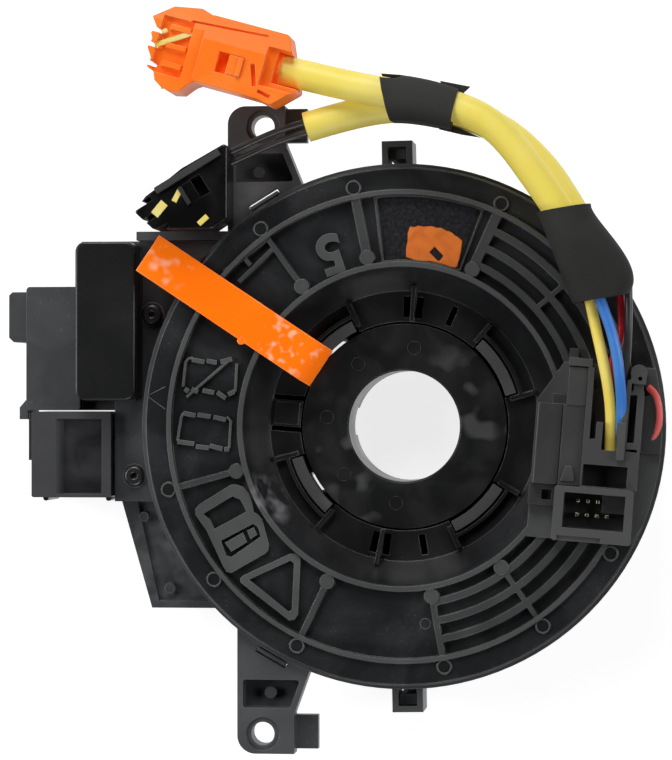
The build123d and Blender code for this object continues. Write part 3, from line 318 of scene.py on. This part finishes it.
def piece(name, meshes, material, body, turn=0.0):
    """One closed piece from several meshes, on its body, with its faces outward."""
    points, faces = [], []
    for mesh in meshes:
        first = len(points)
        points += [v.co.copy() for v in mesh.vertices]
        faces += [[first + index for index in face.vertices] for face in mesh.polygons]
    whole = bpy.data.meshes.new(name)
    whole.from_pydata(points, [], faces)
    whole.transform(Matrix.Rotation(turn, 4, "Z"))
    shell = bmesh.new()
    shell.from_mesh(whole)
    bmesh.ops.remove_doubles(shell, verts=shell.verts, dist=0.000002)
    bmesh.ops.recalc_face_normals(shell, faces=shell.faces)
    shell.to_mesh(whole)
    shell.free()
    whole.materials.append(material)
    made = bpy.data.objects.new(name, whole)
    bpy.context.scene.collection.objects.link(made)
    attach(made, body)
    return made


plate_top, boss_top = 16.0, 10.2
plate_notch = [(-61.9, -0.3), (-60.4, -3.2), (-58.6, -0.3)]
scribed_grey = moulded("scribed_grey", (0.10, 0.10, 0.10), (0.16, 0.16, 0.16), 0.4)
notch_mesh = raised([stroke(plate_notch, 0.2)], plate_top - 0.1, plate_top + 0.1, 0.04)
piece("plate_notch", [notch_mesh], scribed_grey, "stator")


def ring_marks():
    """Geometry nodes: a small raised ring on each point, for ejector marks and boss rims."""
    tree = bpy.data.node_groups.new("ring_marks", "GeometryNodeTree")
    tree.interface.new_socket("Points", in_out="INPUT", socket_type="NodeSocketGeometry")
    for label in ("Radius", "Line", "Height"):
        tree.interface.new_socket(label, in_out="INPUT", socket_type="NodeSocketFloat")
    tree.interface.new_socket("Finish", in_out="INPUT", socket_type="NodeSocketMaterial")
    tree.interface.new_socket("Rings", in_out="OUTPUT", socket_type="NodeSocketGeometry")
    make, link = tree.nodes.new, tree.links.new
    start, end = make("NodeGroupInput"), make("NodeGroupOutput")
    circle = make("GeometryNodeCurvePrimitiveCircle")
    profile = make("GeometryNodeCurvePrimitiveQuadrilateral")
    circle.inputs["Resolution"].default_value = 28
    link(start.outputs["Radius"], circle.inputs["Radius"])
    link(start.outputs["Line"], profile.inputs["Width"])
    link(start.outputs["Height"], profile.inputs["Height"])
    sweep, copy = make("GeometryNodeCurveToMesh"), make("GeometryNodeInstanceOnPoints")
    real, finish = make("GeometryNodeRealizeInstances"), make("GeometryNodeSetMaterial")
    link(circle.outputs["Curve"], sweep.inputs["Curve"])
    link(profile.outputs["Curve"], sweep.inputs["Profile Curve"])
    link(start.outputs["Points"], copy.inputs["Points"])
    link(sweep.outputs["Mesh"], copy.inputs["Instance"])
    link(copy.outputs["Instances"], real.inputs["Geometry"])
    link(real.outputs["Geometry"], finish.inputs["Geometry"])
    link(start.outputs["Finish"], finish.inputs["Material"])
    link(finish.outputs["Geometry"], end.inputs["Rings"])
    return tree


ring_tree = ring_marks()


def rings(name, places, radius, line, height, material, body, turn=0.0):
    """Rings at places given in millimetres, made by the tree and kept as a plain mesh."""
    points = bpy.data.meshes.new(name)
    points.from_pydata([(x / 1000, y / 1000, z / 1000) for x, y, z in places], [], [])
    mesh = as_mesh(points, ring_tree, Radius=radius / 1000, Line=line / 1000, Height=height / 1000,
                   Finish=material)
    return piece(name, [mesh], material, body, turn)


pocket_floor = 19.45
rings("pocket_marks", [(-31.35, 54.7, pocket_floor)], 1.5, 0.3, 0.3, case_black, "stator")
screw_places = [(-55.3, 24.3, plate_top), (-59.2, -10.9, plate_top)]
rings("screw_rims", screw_places, 2.55, 0.3, 0.2, scribed_grey, "stator")
low_bosses = [(-52.3, -35.8, boss_top), (-58.1, -20.0, boss_top)]
rings("plate_rims", low_bosses, 0.95, 0.22, 0.16, scribed_grey, "stator")
seam_web = [(-63.98, -15.5), (-62.6, -15.5), (-62.6, 2.9), (-63.98, 2.9)]
web_low, web_high = 12.9, 13.98
piece("seam_web", [raised([seam_web], web_low, web_high, 0.02)], case_black, "stator")

# ---------------------------------------------------------------- flat cable and rollers
# Inside: the wound ribbon cable, and the ring that carries six rollers between its turns.
# Pale polyester film, and white low-friction plastic.
film_white = moulded("film_white", (0.7, 0.69, 0.65), (0.75, 0.74, 0.7), 0.35)
dress(film_white, "flat_cable")
slide_white = moulded("slide_white", (0.75, 0.74, 0.7), (0.7, 0.69, 0.64), 0.4)
dress(slide_white, "carrier_ring", *[f"roller_{index}" for index in range(1, 7)])

# ---------------------------------------------------------------- turning disc
# The disc that turns with the wheel: outer band, ridges, ribs and bosses round a glossy sunk bowl.
# One moulding in slippery black plastic, darkened in the bowl by painted shade. High places are rubbed matte,
# and they and the edges are lightened grey by a painted highlight.
# The clamp of the cable's inner end is of the same plastic.
disc_black = moulded("disc_black", (0.0145, 0.0152, 0.0162), (0.034, 0.0353, 0.0372), 0.20,
                     Worn=(0.15, 0.155, 0.152), Edges=1.0, Tops=0.42, Tops_from=0.0262, Tops_full=0.0269,
                     Spread=0.22, Dust=0.15, Flow=70.0, rounding=0.00034, specular=0.4)
# Painted shade: the whole bowl is darkened nearly to black.
painted_bowl_shade = ((0.0, 0.0, 0.0180), 0.0380, 100.0, 0.0, 0.01)
lay_spots(disc_black, [painted_bowl_shade], (0.005, 0.005, 0.005), 0.6)
# Painted highlight: a pale blotchy patch on one slope of the bowl.
bowl_shine = ((-0.0280, -0.0150, 0.0240), 0.0070, 330.0, 0.44, 0.7)
lay_spots(disc_black, [bowl_shine], (0.26, 0.25, 0.27), 0.6)
dress(disc_black, "rotor_disc", "rotor_lead_block")
disc_floor = moulded("disc_floor", (0.010, 0.011, 0.012), (0.020, 0.021, 0.023), 0.24, Edges=0.0)
rotor_turn = math.radians(-4.5)

# A frame with two blocks, a triangle, two broken frames and a numeral stand raised between the spokes.
# They and the notch on the band are part of the disc's moulding, paler than the face round them, and the
# signs' edges carry a painted highlight.
sign_low, sign_high = 25.35, 26.35
frame_outer = [(-42.8, -21.2), (-42.0, -20.1), (-35.6, -15.4), (-34.4, -15.2), (-32.8, -15.6), (-31.4, -17.0),
               (-30.6, -18.8), (-30.1, -20.8), (-28.9, -21.4), (-28.1, -22.3), (-26.3, -27.5), (-26.4, -28.8),
               (-27.0, -29.5), (-33.9, -34.2), (-35.0, -34.1), (-35.6, -33.3), (-39.9, -25.7), (-42.6, -22.5)]
frame_upper = [(-40.97, -22.1), (-35.0, -17.8), (-33.2, -18.4), (-31.7, -20.8), (-38.3, -25.1),
               (-39.4, -23.2)]
frame_lower = [(-36.7, -27.5), (-30.0, -23.3), (-28.9, -24.1), (-28.2, -25.9), (-34.2, -30.8), (-35.3, -30.6)]
frame_blocks = [[(-35.9, -27.9), (-32.1, -25.3), (-31.1, -27.4), (-34.3, -29.7)],
                [(-31.3, -24.9), (-29.9, -24.0), (-29.0, -25.6), (-30.4, -26.7)]]
triangle_outer = [(-31.9, -35.2), (-31.3, -34.5), (-21.6, -29.0), (-20.3, -28.9), (-19.3, -29.7),
                  (-18.9, -41.8), (-19.5, -43.0), (-20.7, -43.3), (-31.0, -36.6), (-31.8, -36.0)]
triangle_inner = [(-30.0, -35.3), (-21.4, -30.5), (-20.6, -31.1), (-20.3, -40.9), (-21.0, -41.4)]
broken_lines = [
    [(-45.9, 11.1), (-46.8, 10.9), (-47.4, 10.1), (-47.5, 4.8)], [(-36.3, 10.6), (-36.1, 4.6)],
    [(-46.6, 2.6), (-44.7, 4.5), (-38.4, 10.8)], [(-47.0, -0.9), (-47.4, -1.8), (-47.8, -6.9)],
    [(-37.5, -0.9), (-36.6, -1.8), (-36.5, -7.6)]]
broken_bars = [
    [(-46.0, 10.7), (-43.3, 10.4)], [(-42.8, 10.7), (-40.6, 10.5)], [(-39.8, 10.7), (-37.4, 11.5)],
    [(-47.1, 4.3), (-46.2, 3.8)], [(-45.6, 4.4), (-44.2, 3.9)], [(-43.2, 4.3), (-40.7, 4.0)],
    [(-40.0, 4.1), (-38.1, 3.0)], [(-37.6, 3.9), (-36.3, 4.6)], [(-47.0, -0.9), (-44.3, -1.2)],
    [(-43.9, -1.0), (-41.0, -1.2)], [(-40.4, -1.2), (-37.7, -1.6)], [(-47.8, -7.1), (-44.1, -7.3)],
    [(-43.7, -7.8), (-40.9, -7.9)], [(-40.7, -7.4), (-37.9, -7.9)], [(-37.5, -7.9), (-36.5, -7.8)]]
signs = [raised([frame_outer, frame_upper, frame_lower], sign_low, sign_high),
         raised([triangle_outer, triangle_inner], sign_low, sign_high)]
signs += [raised([loop], sign_low, sign_high - 0.3) for loop in frame_blocks]
signs += [raised([stroke(line, 0.55)], sign_low, sign_high - 0.1) for line in broken_lines]
signs += [raised([stroke(line, 1.0)], sign_low, sign_high) for line in broken_bars]
numeral = bpy.data.curves.new("numeral", "FONT")
numeral.body = "5"
numeral.size = 0.0118
numeral.align_x = "CENTER"
numeral.align_y = "CENTER"
figure = thick(numeral, sign_low, sign_high, 0.06, heavier=0.36)
numeral_place, numeral_turn = (-0.0182, 0.0358, 0), math.radians(203.0)
figure.transform(Matrix.Translation(numeral_place) @ Matrix.Rotation(numeral_turn, 4, "Z"))
signs.append(figure)
sign_grey = moulded("sign_grey", (0.060, 0.063, 0.063), (0.085, 0.089, 0.087), 0.42, Worn=(0.19, 0.19, 0.19),
                    Edges=0.9)
piece("face_signs", signs, sign_grey, "rotor", rotor_turn)
notch = [(-51.3, 4.5), (-55.1, 2.2), (-50.9, -0.4)]
band_top = 26.2
piece("band_notch", [raised([stroke(notch, 0.24)], band_top - 0.1, band_top + 0.1, 0.05)], scribed_grey,
      "rotor", rotor_turn)

# Rims on the bosses of the outer band, and the round marks that ejector pins leave.
boss_angles = (70.2, 105.8, 130.0, 199.7, 223.7, 249.0, 284.7, 310.0, 333.4)
boss_ring, band_boss_top = 51.9, 26.55
boss_turns = [math.radians(angle) for angle in boss_angles]
boss_places = [(boss_ring * math.cos(turn), boss_ring * math.sin(turn), band_boss_top) for turn in boss_turns]
rings("boss_rims", boss_places, 1.42, 0.3, 0.3, sign_grey, "rotor", rotor_turn)
boss_faces = [raised([round_outline(x, y, 1.24)], z - 0.05, z + 0.03, 0.02) for x, y, z in boss_places]
piece("boss_faces", boss_faces, disc_floor, "rotor", rotor_turn)
rings("pin_mark", [(8.38, -41.52, 25.4)], 1.1, 0.16, 0.1, sign_grey, "rotor", rotor_turn)

# ---------------------------------------------------------------- shaft sleeve
# The tube that goes over the shaft, pushed in from the back and held by four curved claws.
# Harder, glossier black plastic with its own ejector marks.
sleeve_black = moulded("sleeve_black", (0.010, 0.0105, 0.011), (0.019, 0.0195, 0.019), 0.13,
                       Worn=(0.07, 0.07, 0.07), Edges=0.9, Tops=0.75, Tops_from=0.0183, Tops_full=0.0192,
                       Spread=0.4, Flow=110.0)
# Painted reflections: two pale blotchy patches on the sleeve's face; its top rim and edges are lightened by a
# painted highlight.
right_shine = ((0.016, 0.004, 0.018), 0.016, 150.0, 0.55, 0.66)
left_shine = ((-0.012, -0.010, 0.018), 0.014, 170.0, 0.57, 0.7)
lay_spots(sleeve_black, [right_shine, left_shine], (0.085, 0.083, 0.082), 0.7)
dress(sleeve_black, "rotor_sleeve")
mark_black = moulded("mark_black", (0.022, 0.022, 0.022), (0.03, 0.03, 0.03), 0.3)
sleeve_top = 18.0
pin_places = [(0.8, 17.0), (-11.0, 12.6), (-16.9, 0.6), (-12.2, -11.4), (-0.5, -16.7)]
sleeve_marks = [(x, y, sleeve_top) for x, y in pin_places]
rings("sleeve_marks", sleeve_marks, 1.45, 0.14, 0.08, mark_black, "rotor", rotor_turn)

# ---------------------------------------------------------------- centre mark
# The orange patch that stands in the window when the cable is centred, and the scuffed window round it.
# Paint on the disc, with a ragged edge and a small diamond left bare.
window_worn = moulded("window_worn", (0.011, 0.011, 0.013), (0.030, 0.030, 0.036), 0.3, Worn=(0.1, 0.1, 0.1),
                      Flow=1400.0, Edges=0.0, bump=0.1)
window_floor = 25.0
window_span = range(75, 101)
window_sides = ((49.0, window_span), (35.7, reversed(window_span)))
window_edge = [(radius * math.cos(math.radians(angle)), radius * math.sin(math.radians(angle)))
               for radius, angles in window_sides for angle in angles]
piece("window_face", [raised([window_edge], window_floor - 0.04, window_floor + 0.06, 0.02)], window_worn,
      "rotor", rotor_turn)
mark_orange = moulded("mark_orange", (0.78, 0.20, 0.034), (0.62, 0.14, 0.022), 0.45, Worn=(0.15, 0.03, 0.01),
                      Flow=260.0, specular=0.2, Edges=0.7, rounding=0.0004)
patch = [(-1.5, 42.7), (-0.6, 42.6), (0.2, 43.0), (1.4, 42.9), (3.2, 43.1), (4.2, 42.8), (5.1, 42.9),
         (6.3, 42.4), (7.5, 42.1), (8.2, 41.5), (9.1, 41.1), (9.9, 40.4), (9.8, 38.2), (9.5, 36.2),
         (9.1, 34.6), (7.6, 34.7), (6.4, 35.0), (5.6, 35.2), (3.3, 35.6), (1.6, 35.4), (-0.1, 35.6),
         (-1.9, 36.1), (-2.0, 37.9), (-1.8, 39.7), (-1.9, 41.2)]
diamond = [(4.1, 38.7), (6.1, 36.9), (5.4, 35.9), (4.9, 35.9), (3.1, 37.5)]
mark = piece("mark_patch", [raised([patch, diamond], window_floor, window_floor + 0.3, 0.05)], mark_orange,
             "rotor", rotor_turn)
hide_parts("centre_mark")

# ---------------------------------------------------------------- side covers and connectors
# The deep cover over the cable's fixed end, the sensor side's connector, the terminal board, all pins and
# the two screws.
# Black plastic of different gloss, a green coated board, plated pins and dark plated screws.
# The lid's high face, the screws' rims and the edges of these pieces carry a painted highlight.
cover_black = moulded("cover_black", (0.0075, 0.008, 0.008), (0.014, 0.0145, 0.014), 0.3,
                      Worn=(0.06, 0.06, 0.06), Edges=0.7, Dust=0.12)
dress(cover_black, "sensor_cover")
lid_black = moulded("lid_black", (0.018, 0.018, 0.020), (0.036, 0.036, 0.040), 0.16,
                    Worn=(0.045, 0.046, 0.049), Tops=1.0, Tops_from=0.0172, Tops_full=0.0186, Edges=0.8,
                    Flow=120.0, Spread=0.3)
dress(lid_black, "sensor_connector")
pin_metal = moulded("pin_metal", (0.62, 0.58, 0.46), (0.5, 0.46, 0.36), 0.22, bump=0.02)
pin_metal.node_tree.nodes["Principled BSDF"].inputs["Metallic"].default_value = 1.0
dress(pin_metal, "rotor_terminals", "column_pins", "sensor_pins")
screw_steel = moulded("screw_steel", (0.10, 0.10, 0.10), (0.18, 0.18, 0.18), 0.34, Edges=1.0,
                      Worn=(0.4, 0.4, 0.4))
screw_steel.node_tree.nodes["Principled BSDF"].inputs["Metallic"].default_value = 1.0
dress(screw_steel, "case_screws")
board_green = moulded("board_green", (0.03, 0.13, 0.06), (0.05, 0.18, 0.08), 0.4)
dress(board_green, "terminal_board")

# ---------------------------------------------------------------- wheel side connector
# The plug block on the disc, with its well for the lead wires, and the cover beside it.
# Satin black plastic, paler than the disc; its rims and high faces carry a painted highlight.
block_black = moulded("block_black", (0.030, 0.031, 0.030), (0.044, 0.045, 0.043), 0.4,
                      Worn=(0.12, 0.12, 0.12), Edges=0.8, Tops=0.4, Tops_from=0.0318, Tops_full=0.034)
dress(block_black, "rotor_connector", "connector_cover")

# ---------------------------------------------------------------- shipping strip
# The bonded strip that keeps the disc centred until the part is fitted, and is then peeled off.
# Fluorescent orange film, with pale cut edges, pale glints at both ends and a small bump on one edge.
# Painted light: a faint glow in the film's own colour brightens it, and the pale glints at both ends are
# painted highlights.
strip_orange = moulded("strip_orange", (1.0, 0.17, 0.002), (1.0, 0.21, 0.006), 0.3, Worn=(1.0, 0.5, 0.28),
                       Edges=0.9, rounding=0.0004, specular=0.25, glow=0.22)
inner_glints = ((-0.0232, 0.0176, 0.0275), 0.0078, 480.0, 0.54, 0.70)
outer_glints = ((-0.0500, 0.0350, 0.0275), 0.0062, 330.0, 0.52, 0.74)
lay_spots(strip_orange, [inner_glints, outer_glints], (1.0, 0.66, 0.48), 0.6)
dress(strip_orange, "lock_strip")
strip_low, strip_high = 27.0, 27.4
edge_bump = round_outline(-34.27, 18.30, 0.84)
piece("strip_bump", [raised([edge_bump], strip_low, strip_high, 0.03)], strip_orange, "rotor")

# ---------------------------------------------------------------- lead wires
# Four insulated wires that rise out of the connector's well and go under the tape, a short red loop, and
# the unsleeved wires into the black plug.
# Soft coloured plastic, drawn round and slightly glossy.


def lead(name, points, diameter, material):
    """A cord on one smooth line through its route, in millimetres."""
    line = bpy.data.curves.new(name, "CURVE")
    line.dimensions = "3D"
    line.bevel_depth = diameter / 2000
    line.bevel_resolution = 6
    line.resolution_u = 16
    line.use_fill_caps = True
    spline = line.splines.new("NURBS")
    spline.points.add(len(points) - 1)
    for point, (x, y, z) in zip(spline.points, points):
        point.co = (x / 1000, y / 1000, z / 1000, 1)
    spline.order_u = 3
    spline.use_endpoint_u = True
    line.materials.append(material)
    made = bpy.data.objects.new(name, line)
    bpy.context.scene.collection.objects.link(made)
    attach(made, "rotor")
    return made


def metres(point):
    """A point in millimetres, as metres."""
    return tuple(value / 1000 for value in point)


yellow_route = [(39.9, 28.2, 34.4), (41.2, 22.0, 34.6), (42.7, 15.4, 34.4), (44.0, 8.8, 33.6),
                (44.6, 3.2, 31.9), (44.5, -1.6, 30.2), (44.35, -5.6, 29.8)]
blue_route = [(41.6, 28.6, 36.2), (44.2, 22.2, 36.4), (45.9, 15.6, 36.0), (46.6, 9.4, 35.0),
              (46.9, 4.4, 33.4), (46.85, 0.6, 31.9), (46.8, -1.8, 30.9)]
red_route = [(46.4, 29.4, 33.6), (47.0, 23.8, 33.4), (46.8, 18.6, 32.7), (44.9, 14.2, 31.5),
             (44.5, 9.4, 30.6), (45.0, 5.4, 29.7), (45.5, 2.6, 28.6), (45.7, 0.6, 28.0)]
black_route = [(48.3, 30.0, 34.5), (48.4, 24.4, 34.6), (48.2, 17.6, 34.0), (47.8, 11.6, 32.4),
               (47.1, 6.6, 30.9), (46.9, 2.6, 29.9), (46.9, -0.2, 29.5)]
# Painted glow: the yellow wire gives off a faint light in its own colour.
wire_yellow = moulded("wire_yellow", (0.96, 0.74, 0.13), (0.98, 0.82, 0.22), 0.3, specular=0.4, glow=0.06)
wire_blue = moulded("wire_blue", (0.045, 0.21, 0.66), (0.08, 0.28, 0.72), 0.3)
wire_red = moulded("wire_red", (0.46, 0.008, 0.014), (0.55, 0.02, 0.03), 0.3)
wire_black = moulded("wire_black", (0.03, 0.03, 0.032), (0.06, 0.06, 0.065), 0.3)
loop_red = moulded("loop_red", (0.80, 0.09, 0.085), (0.85, 0.2, 0.19), 0.35)
dress(loop_red, "red_loop")
dress(wire_black, "plug_wires")
for name, route, diameter, length, material, far_end, with_pieces in (
        ("yellow_wire", yellow_route, 2.3, 34.8, wire_yellow, "fitting", [nodes["lower_tape"]]),
        ("blue_wire", blue_route, 2.3, 32.0, wire_blue, "object", []),
        ("red_wire", red_route, 1.7, 30.0, wire_red, "object", []),
        ("black_wire", black_route, 1.7, 31.1, wire_black, "object", [])):
    wire = lead(name + "_lead", route, diameter, material)
    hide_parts(name)
    metres(route[-1])

# ---------------------------------------------------------------- sleeved leads
# Two yellow sleeves with the airbag wires inside, side by side from the lower tape and then parting.
# Soft plastic tube, slightly waxy, scuffed all round in paler blotches.
upper_route = [(-27.6, 76.4, 30.0), (-21.0, 74.85, 30.6), (-13.4, 72.8, 31.8), (-3.4, 70.5, 34.2),
               (6.8, 68.9, 35.5), (14.8, 66.3, 36.3), (20.2, 63.2, 36.7), (24.6, 58.6, 37.0),
               (29.2, 52.1, 37.4), (33.6, 45.9, 37.6), (36.6, 40.2, 37.7)]
lower_route = [(-20.1, 63.8, 28.1), (-11.2, 66.4, 28.1), (-1.9, 68.0, 28.1), (7.4, 67.6, 28.3),
               (15.6, 65.7, 28.8), (22.6, 62.2, 29.6), (28.3, 57.1, 30.3), (33.2, 51.2, 30.9),
               (37.9, 43.0, 31.3)]
# Painted glow: the sleeves give off a faint light in their own colour.
tube_yellow = moulded("tube_yellow", (0.88, 0.72, 0.12), (0.94, 0.80, 0.22), 0.36, Grain=900.0, bump=0.08,
                      specular=0.35, glow=0.05, Flow=45.0)
upper = lead("upper_sleeve", upper_route, 6.5, tube_yellow)
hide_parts("upper_lead")
lower = lead("lower_sleeve", lower_route, 6.5, tube_yellow)
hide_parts("lower_lead")
metres(upper_route[-1])
metres(lower_route[-1])

# ---------------------------------------------------------------- tape
# Cloth tape wound on the bias round both sleeves, with loose ends that stand out in points.
# Matte black fabric, fine woven, with a step at each turn.


def wound_tape():
    """Matte cloth with a fine weave, and a step where each turn overlaps the last."""
    made = moulded("tape_black", (0.022, 0.022, 0.021), (0.034, 0.034, 0.032), 0.72, bump=0.3, Grain=1500.0,
                   Worn=(0.07, 0.07, 0.068), Edges=0.3, specular=0.25)
    tree = made.node_tree
    place = tree.nodes.new("ShaderNodeTexCoord")
    turned = tree.nodes.new("ShaderNodeMapping")
    turned.inputs["Rotation"].default_value = (0, 0, math.radians(35))
    turns = tree.nodes.new("ShaderNodeTexWave")
    turns.wave_profile = "SAW"
    turns.inputs["Scale"].default_value = 42.0
    turns.inputs["Distortion"].default_value = 1.2
    turns.inputs["Detail"].default_value = 1
    step = tree.nodes.new("ShaderNodeBump")
    step.inputs["Strength"].default_value = 0.6
    step.inputs["Distance"].default_value = 0.0004
    tree.links.new(place.outputs["Object"], turned.inputs["Vector"])
    tree.links.new(turned.outputs["Vector"], turns.inputs["Vector"])
    tree.links.new(turns.outputs["Fac"], step.inputs["Height"])
    tree.links.new(tree.nodes["grain"].outputs["Normal"], step.inputs["Normal"])
    tree.links.new(step.outputs["Normal"], tree.nodes["Principled BSDF"].inputs["Normal"])
    return made


# The tape's edges carry a faint painted highlight.
tape_black = wound_tape()
dress(tape_black, "upper_tape", "lower_tape")
upper_tip = [(9.0, 72.6), (15.4, 71.3), (12.9, 69.0), (10.2, 69.4)]
lower_tip = [(9.0, 64.4), (13.0, 63.0), (17.3, 61.05), (13.3, 61.7), (8.4, 62.9)]
upper_height, lower_height = 35.6, 30.0
loose_ends = [raised([upper_tip], upper_height, upper_height + 0.4, 0.05),
              raised([lower_tip], lower_height, lower_height + 0.4, 0.05)]
piece("tape_ends", loose_ends, tape_black, "rotor")

# ---------------------------------------------------------------- orange plug
# The first airbag plug, with its lobed mouth, lock slide, spring contacts and a collar round its sleeve.
# Satin orange plastic, with bright plated contact blades pressed in from the mouth.
# Painted light: a faint glow in the plug's own colour, and a paler painted highlight on its edges.
plug_orange = moulded("plug_orange", (1.0, 0.19, 0.012), (1.0, 0.25, 0.035), 0.38, Worn=(1.0, 0.40, 0.18),
                      Edges=0.6, specular=0.2, glow=0.08, rounding=0.0004)
dress(plug_orange, "orange_plug", "orange_plug_lock")
collar_ends = [(-0.0294, 0.07675, 0.0300, 1), (-0.0249, 0.07575, 0.0303, 1)]
collar = bpy.data.curves.new("orange_collar", "CURVE")
collar.dimensions = "3D"
collar.bevel_depth = 0.0039
collar.bevel_resolution = 8
collar.use_fill_caps = True
axis = collar.splines.new("POLY")
axis.points.add(1)
for point, collar_end in zip(axis.points, collar_ends):
    point.co = collar_end
piece("orange_collar", [as_mesh(collar)], plug_orange, "rotor")
contact_gold = moulded("contact_gold", (0.90, 0.72, 0.12), (0.97, 0.86, 0.40), 0.25, specular=0.8)
blades = [((-51.7, 80.9), (-43.7, 83.3), 1.1), ((-50.4, 72.0), (-42.2, 74.7), 0.9),
          ((-50.2, 83.7), (-48.9, 84.1), 0.9)]
blade_low, blade_high = 34.6, 35.4
orange_blades = [raised([stroke([near, far], width)], blade_low, blade_high, 0.08)
                 for near, far, width in blades]
piece("orange_contacts", orange_blades, contact_gold, "rotor")

# ---------------------------------------------------------------- black plug
# The second airbag plug, laid beside the upper ear, with its lock slide and contacts.
# Very glossy black plastic with bright yellow contacts.
# Painted highlight: the plug's top and edges are lightened grey.
plug_black = moulded("plug_black", (0.004, 0.004, 0.0042), (0.009, 0.009, 0.0095), 0.12,
                     Worn=(0.10, 0.10, 0.10), Edges=0.7, Tops=0.5, Tops_from=0.0344, Tops_full=0.0350,
                     Spread=0.2, Flow=160.0, specular=0.4)
dress(plug_black, "black_plug", "black_plug_lock")
tabs = [((-51.9, 44.9), (-49.7, 47.5), 1.9), ((-47.7, 47.7), (-46.4, 50.1), 1.2),
        ((-42.4, 42.9), (-40.5, 44.6), 1.2)]
tab_low, tab_high = 34.0, 34.42
black_tabs = [raised([stroke([near, far], width)], tab_low, tab_high, 0.08) for near, far, width in tabs]
piece("black_contacts", black_tabs, contact_gold, "rotor")

# ---------------------------------------------------------------- floor
# A plain pale floor that the part lies on.
floor_mesh = bpy.data.meshes.new("floor")
half, gap = 3, 0.0004
floor_corners = [(-half, -half, 0), (half, -half, 0), (half, half, 0), (-half, half, 0)]
floor_mesh.from_pydata(floor_corners, [], [(0, 1, 2, 3)])
floor_mesh.transform(Matrix.Translation((0, 0, cad_box[0][2] - gap)))
floor = bpy.data.objects.new("floor", floor_mesh)
bpy.context.scene.collection.objects.link(floor)
pale = bpy.data.materials.new("pale_floor")
pale.use_nodes = True
tree = pale.node_tree
shader = tree.nodes["Principled BSDF"]
shader.inputs["Base Color"].default_value = (0.45, 0.45, 0.45, 1)
shader.inputs["Roughness"].default_value = 0.9
shader.inputs["Emission Color"].default_value = (1, 1, 1, 1)
rays = tree.nodes.new("ShaderNodeLightPath")
shown = reckoned(tree, "MAXIMUM", rays.outputs["Is Camera Ray"], rays.outputs["Is Glossy Ray"])
tree.links.new(reckoned(tree, "MULTIPLY", shown, 0.8), shader.inputs["Emission Strength"])
floor_mesh.materials.append(pale)

# ---------------------------------------------------------------- light
# Soft boxes round the part, and a room that is pale near the floor and dim overhead.
world = bpy.data.worlds.new("studio")
bpy.context.scene.world = world
world.use_nodes = True
tree = world.node_tree
way = tree.nodes.new("ShaderNodeTexCoord")
split = tree.nodes.new("ShaderNodeSeparateXYZ")
tree.links.new(way.outputs["Generated"], split.inputs["Vector"])
room = tree.nodes.new("ShaderNodeMapRange")
room.inputs["From Min"].default_value = 0.05
room.inputs["From Max"].default_value = 0.6
room.inputs["To Min"].default_value = 0.9
room.inputs["To Max"].default_value = 0.2
tree.links.new(split.outputs["Z"], room.inputs["Value"])
tree.links.new(room.outputs["Result"], tree.nodes["Background"].inputs["Strength"])
soft_boxes = [("top_box", (-0.15, 0.8, 0.55), 5.8, 0.5), ("left_box", (-0.8, 0.1, 0.5), 4.6, 0.5),
              ("right_box", (0.85, 0.1, 0.5), 3.2, 0.4), ("low_box", (0.1, -0.8, 0.45), 2.8, 0.4)]
for label, place, power, size in soft_boxes:
    lamp = bpy.data.lights.new(label, "AREA")
    lamp.energy = power
    lamp.size = size
    held = bpy.data.objects.new(label, lamp)
    held.location = place
    held.rotation_euler = (Vector((0, 0, 0.02)) - Vector(place)).to_track_quat("-Z", "Y").to_euler()
    bpy.context.scene.collection.objects.link(held)

# ---------------------------------------------------------------- camera
# Almost square to the disc, a little towards the side of the wheel connector.
lens = bpy.data.cameras.new("camera")
lens.sensor_fit = "HORIZONTAL"
lens.sensor_width = 36
lens.lens = 163.6
lens.clip_start = 0.01
camera = bpy.data.objects.new("camera", lens)
camera_place, sideways, upward = (0.0537, 0.0052, 0.675), 0.1039, 0.0072
camera.matrix_world = (Matrix.Translation(camera_place) @ Matrix.Rotation(sideways, 4, "Y")
                       @ Matrix.Rotation(upward, 4, "X"))
bpy.context.scene.collection.objects.link(camera)
bpy.context.scene.camera = camera
bpy.context.scene.view_settings.view_transform = "Standard"
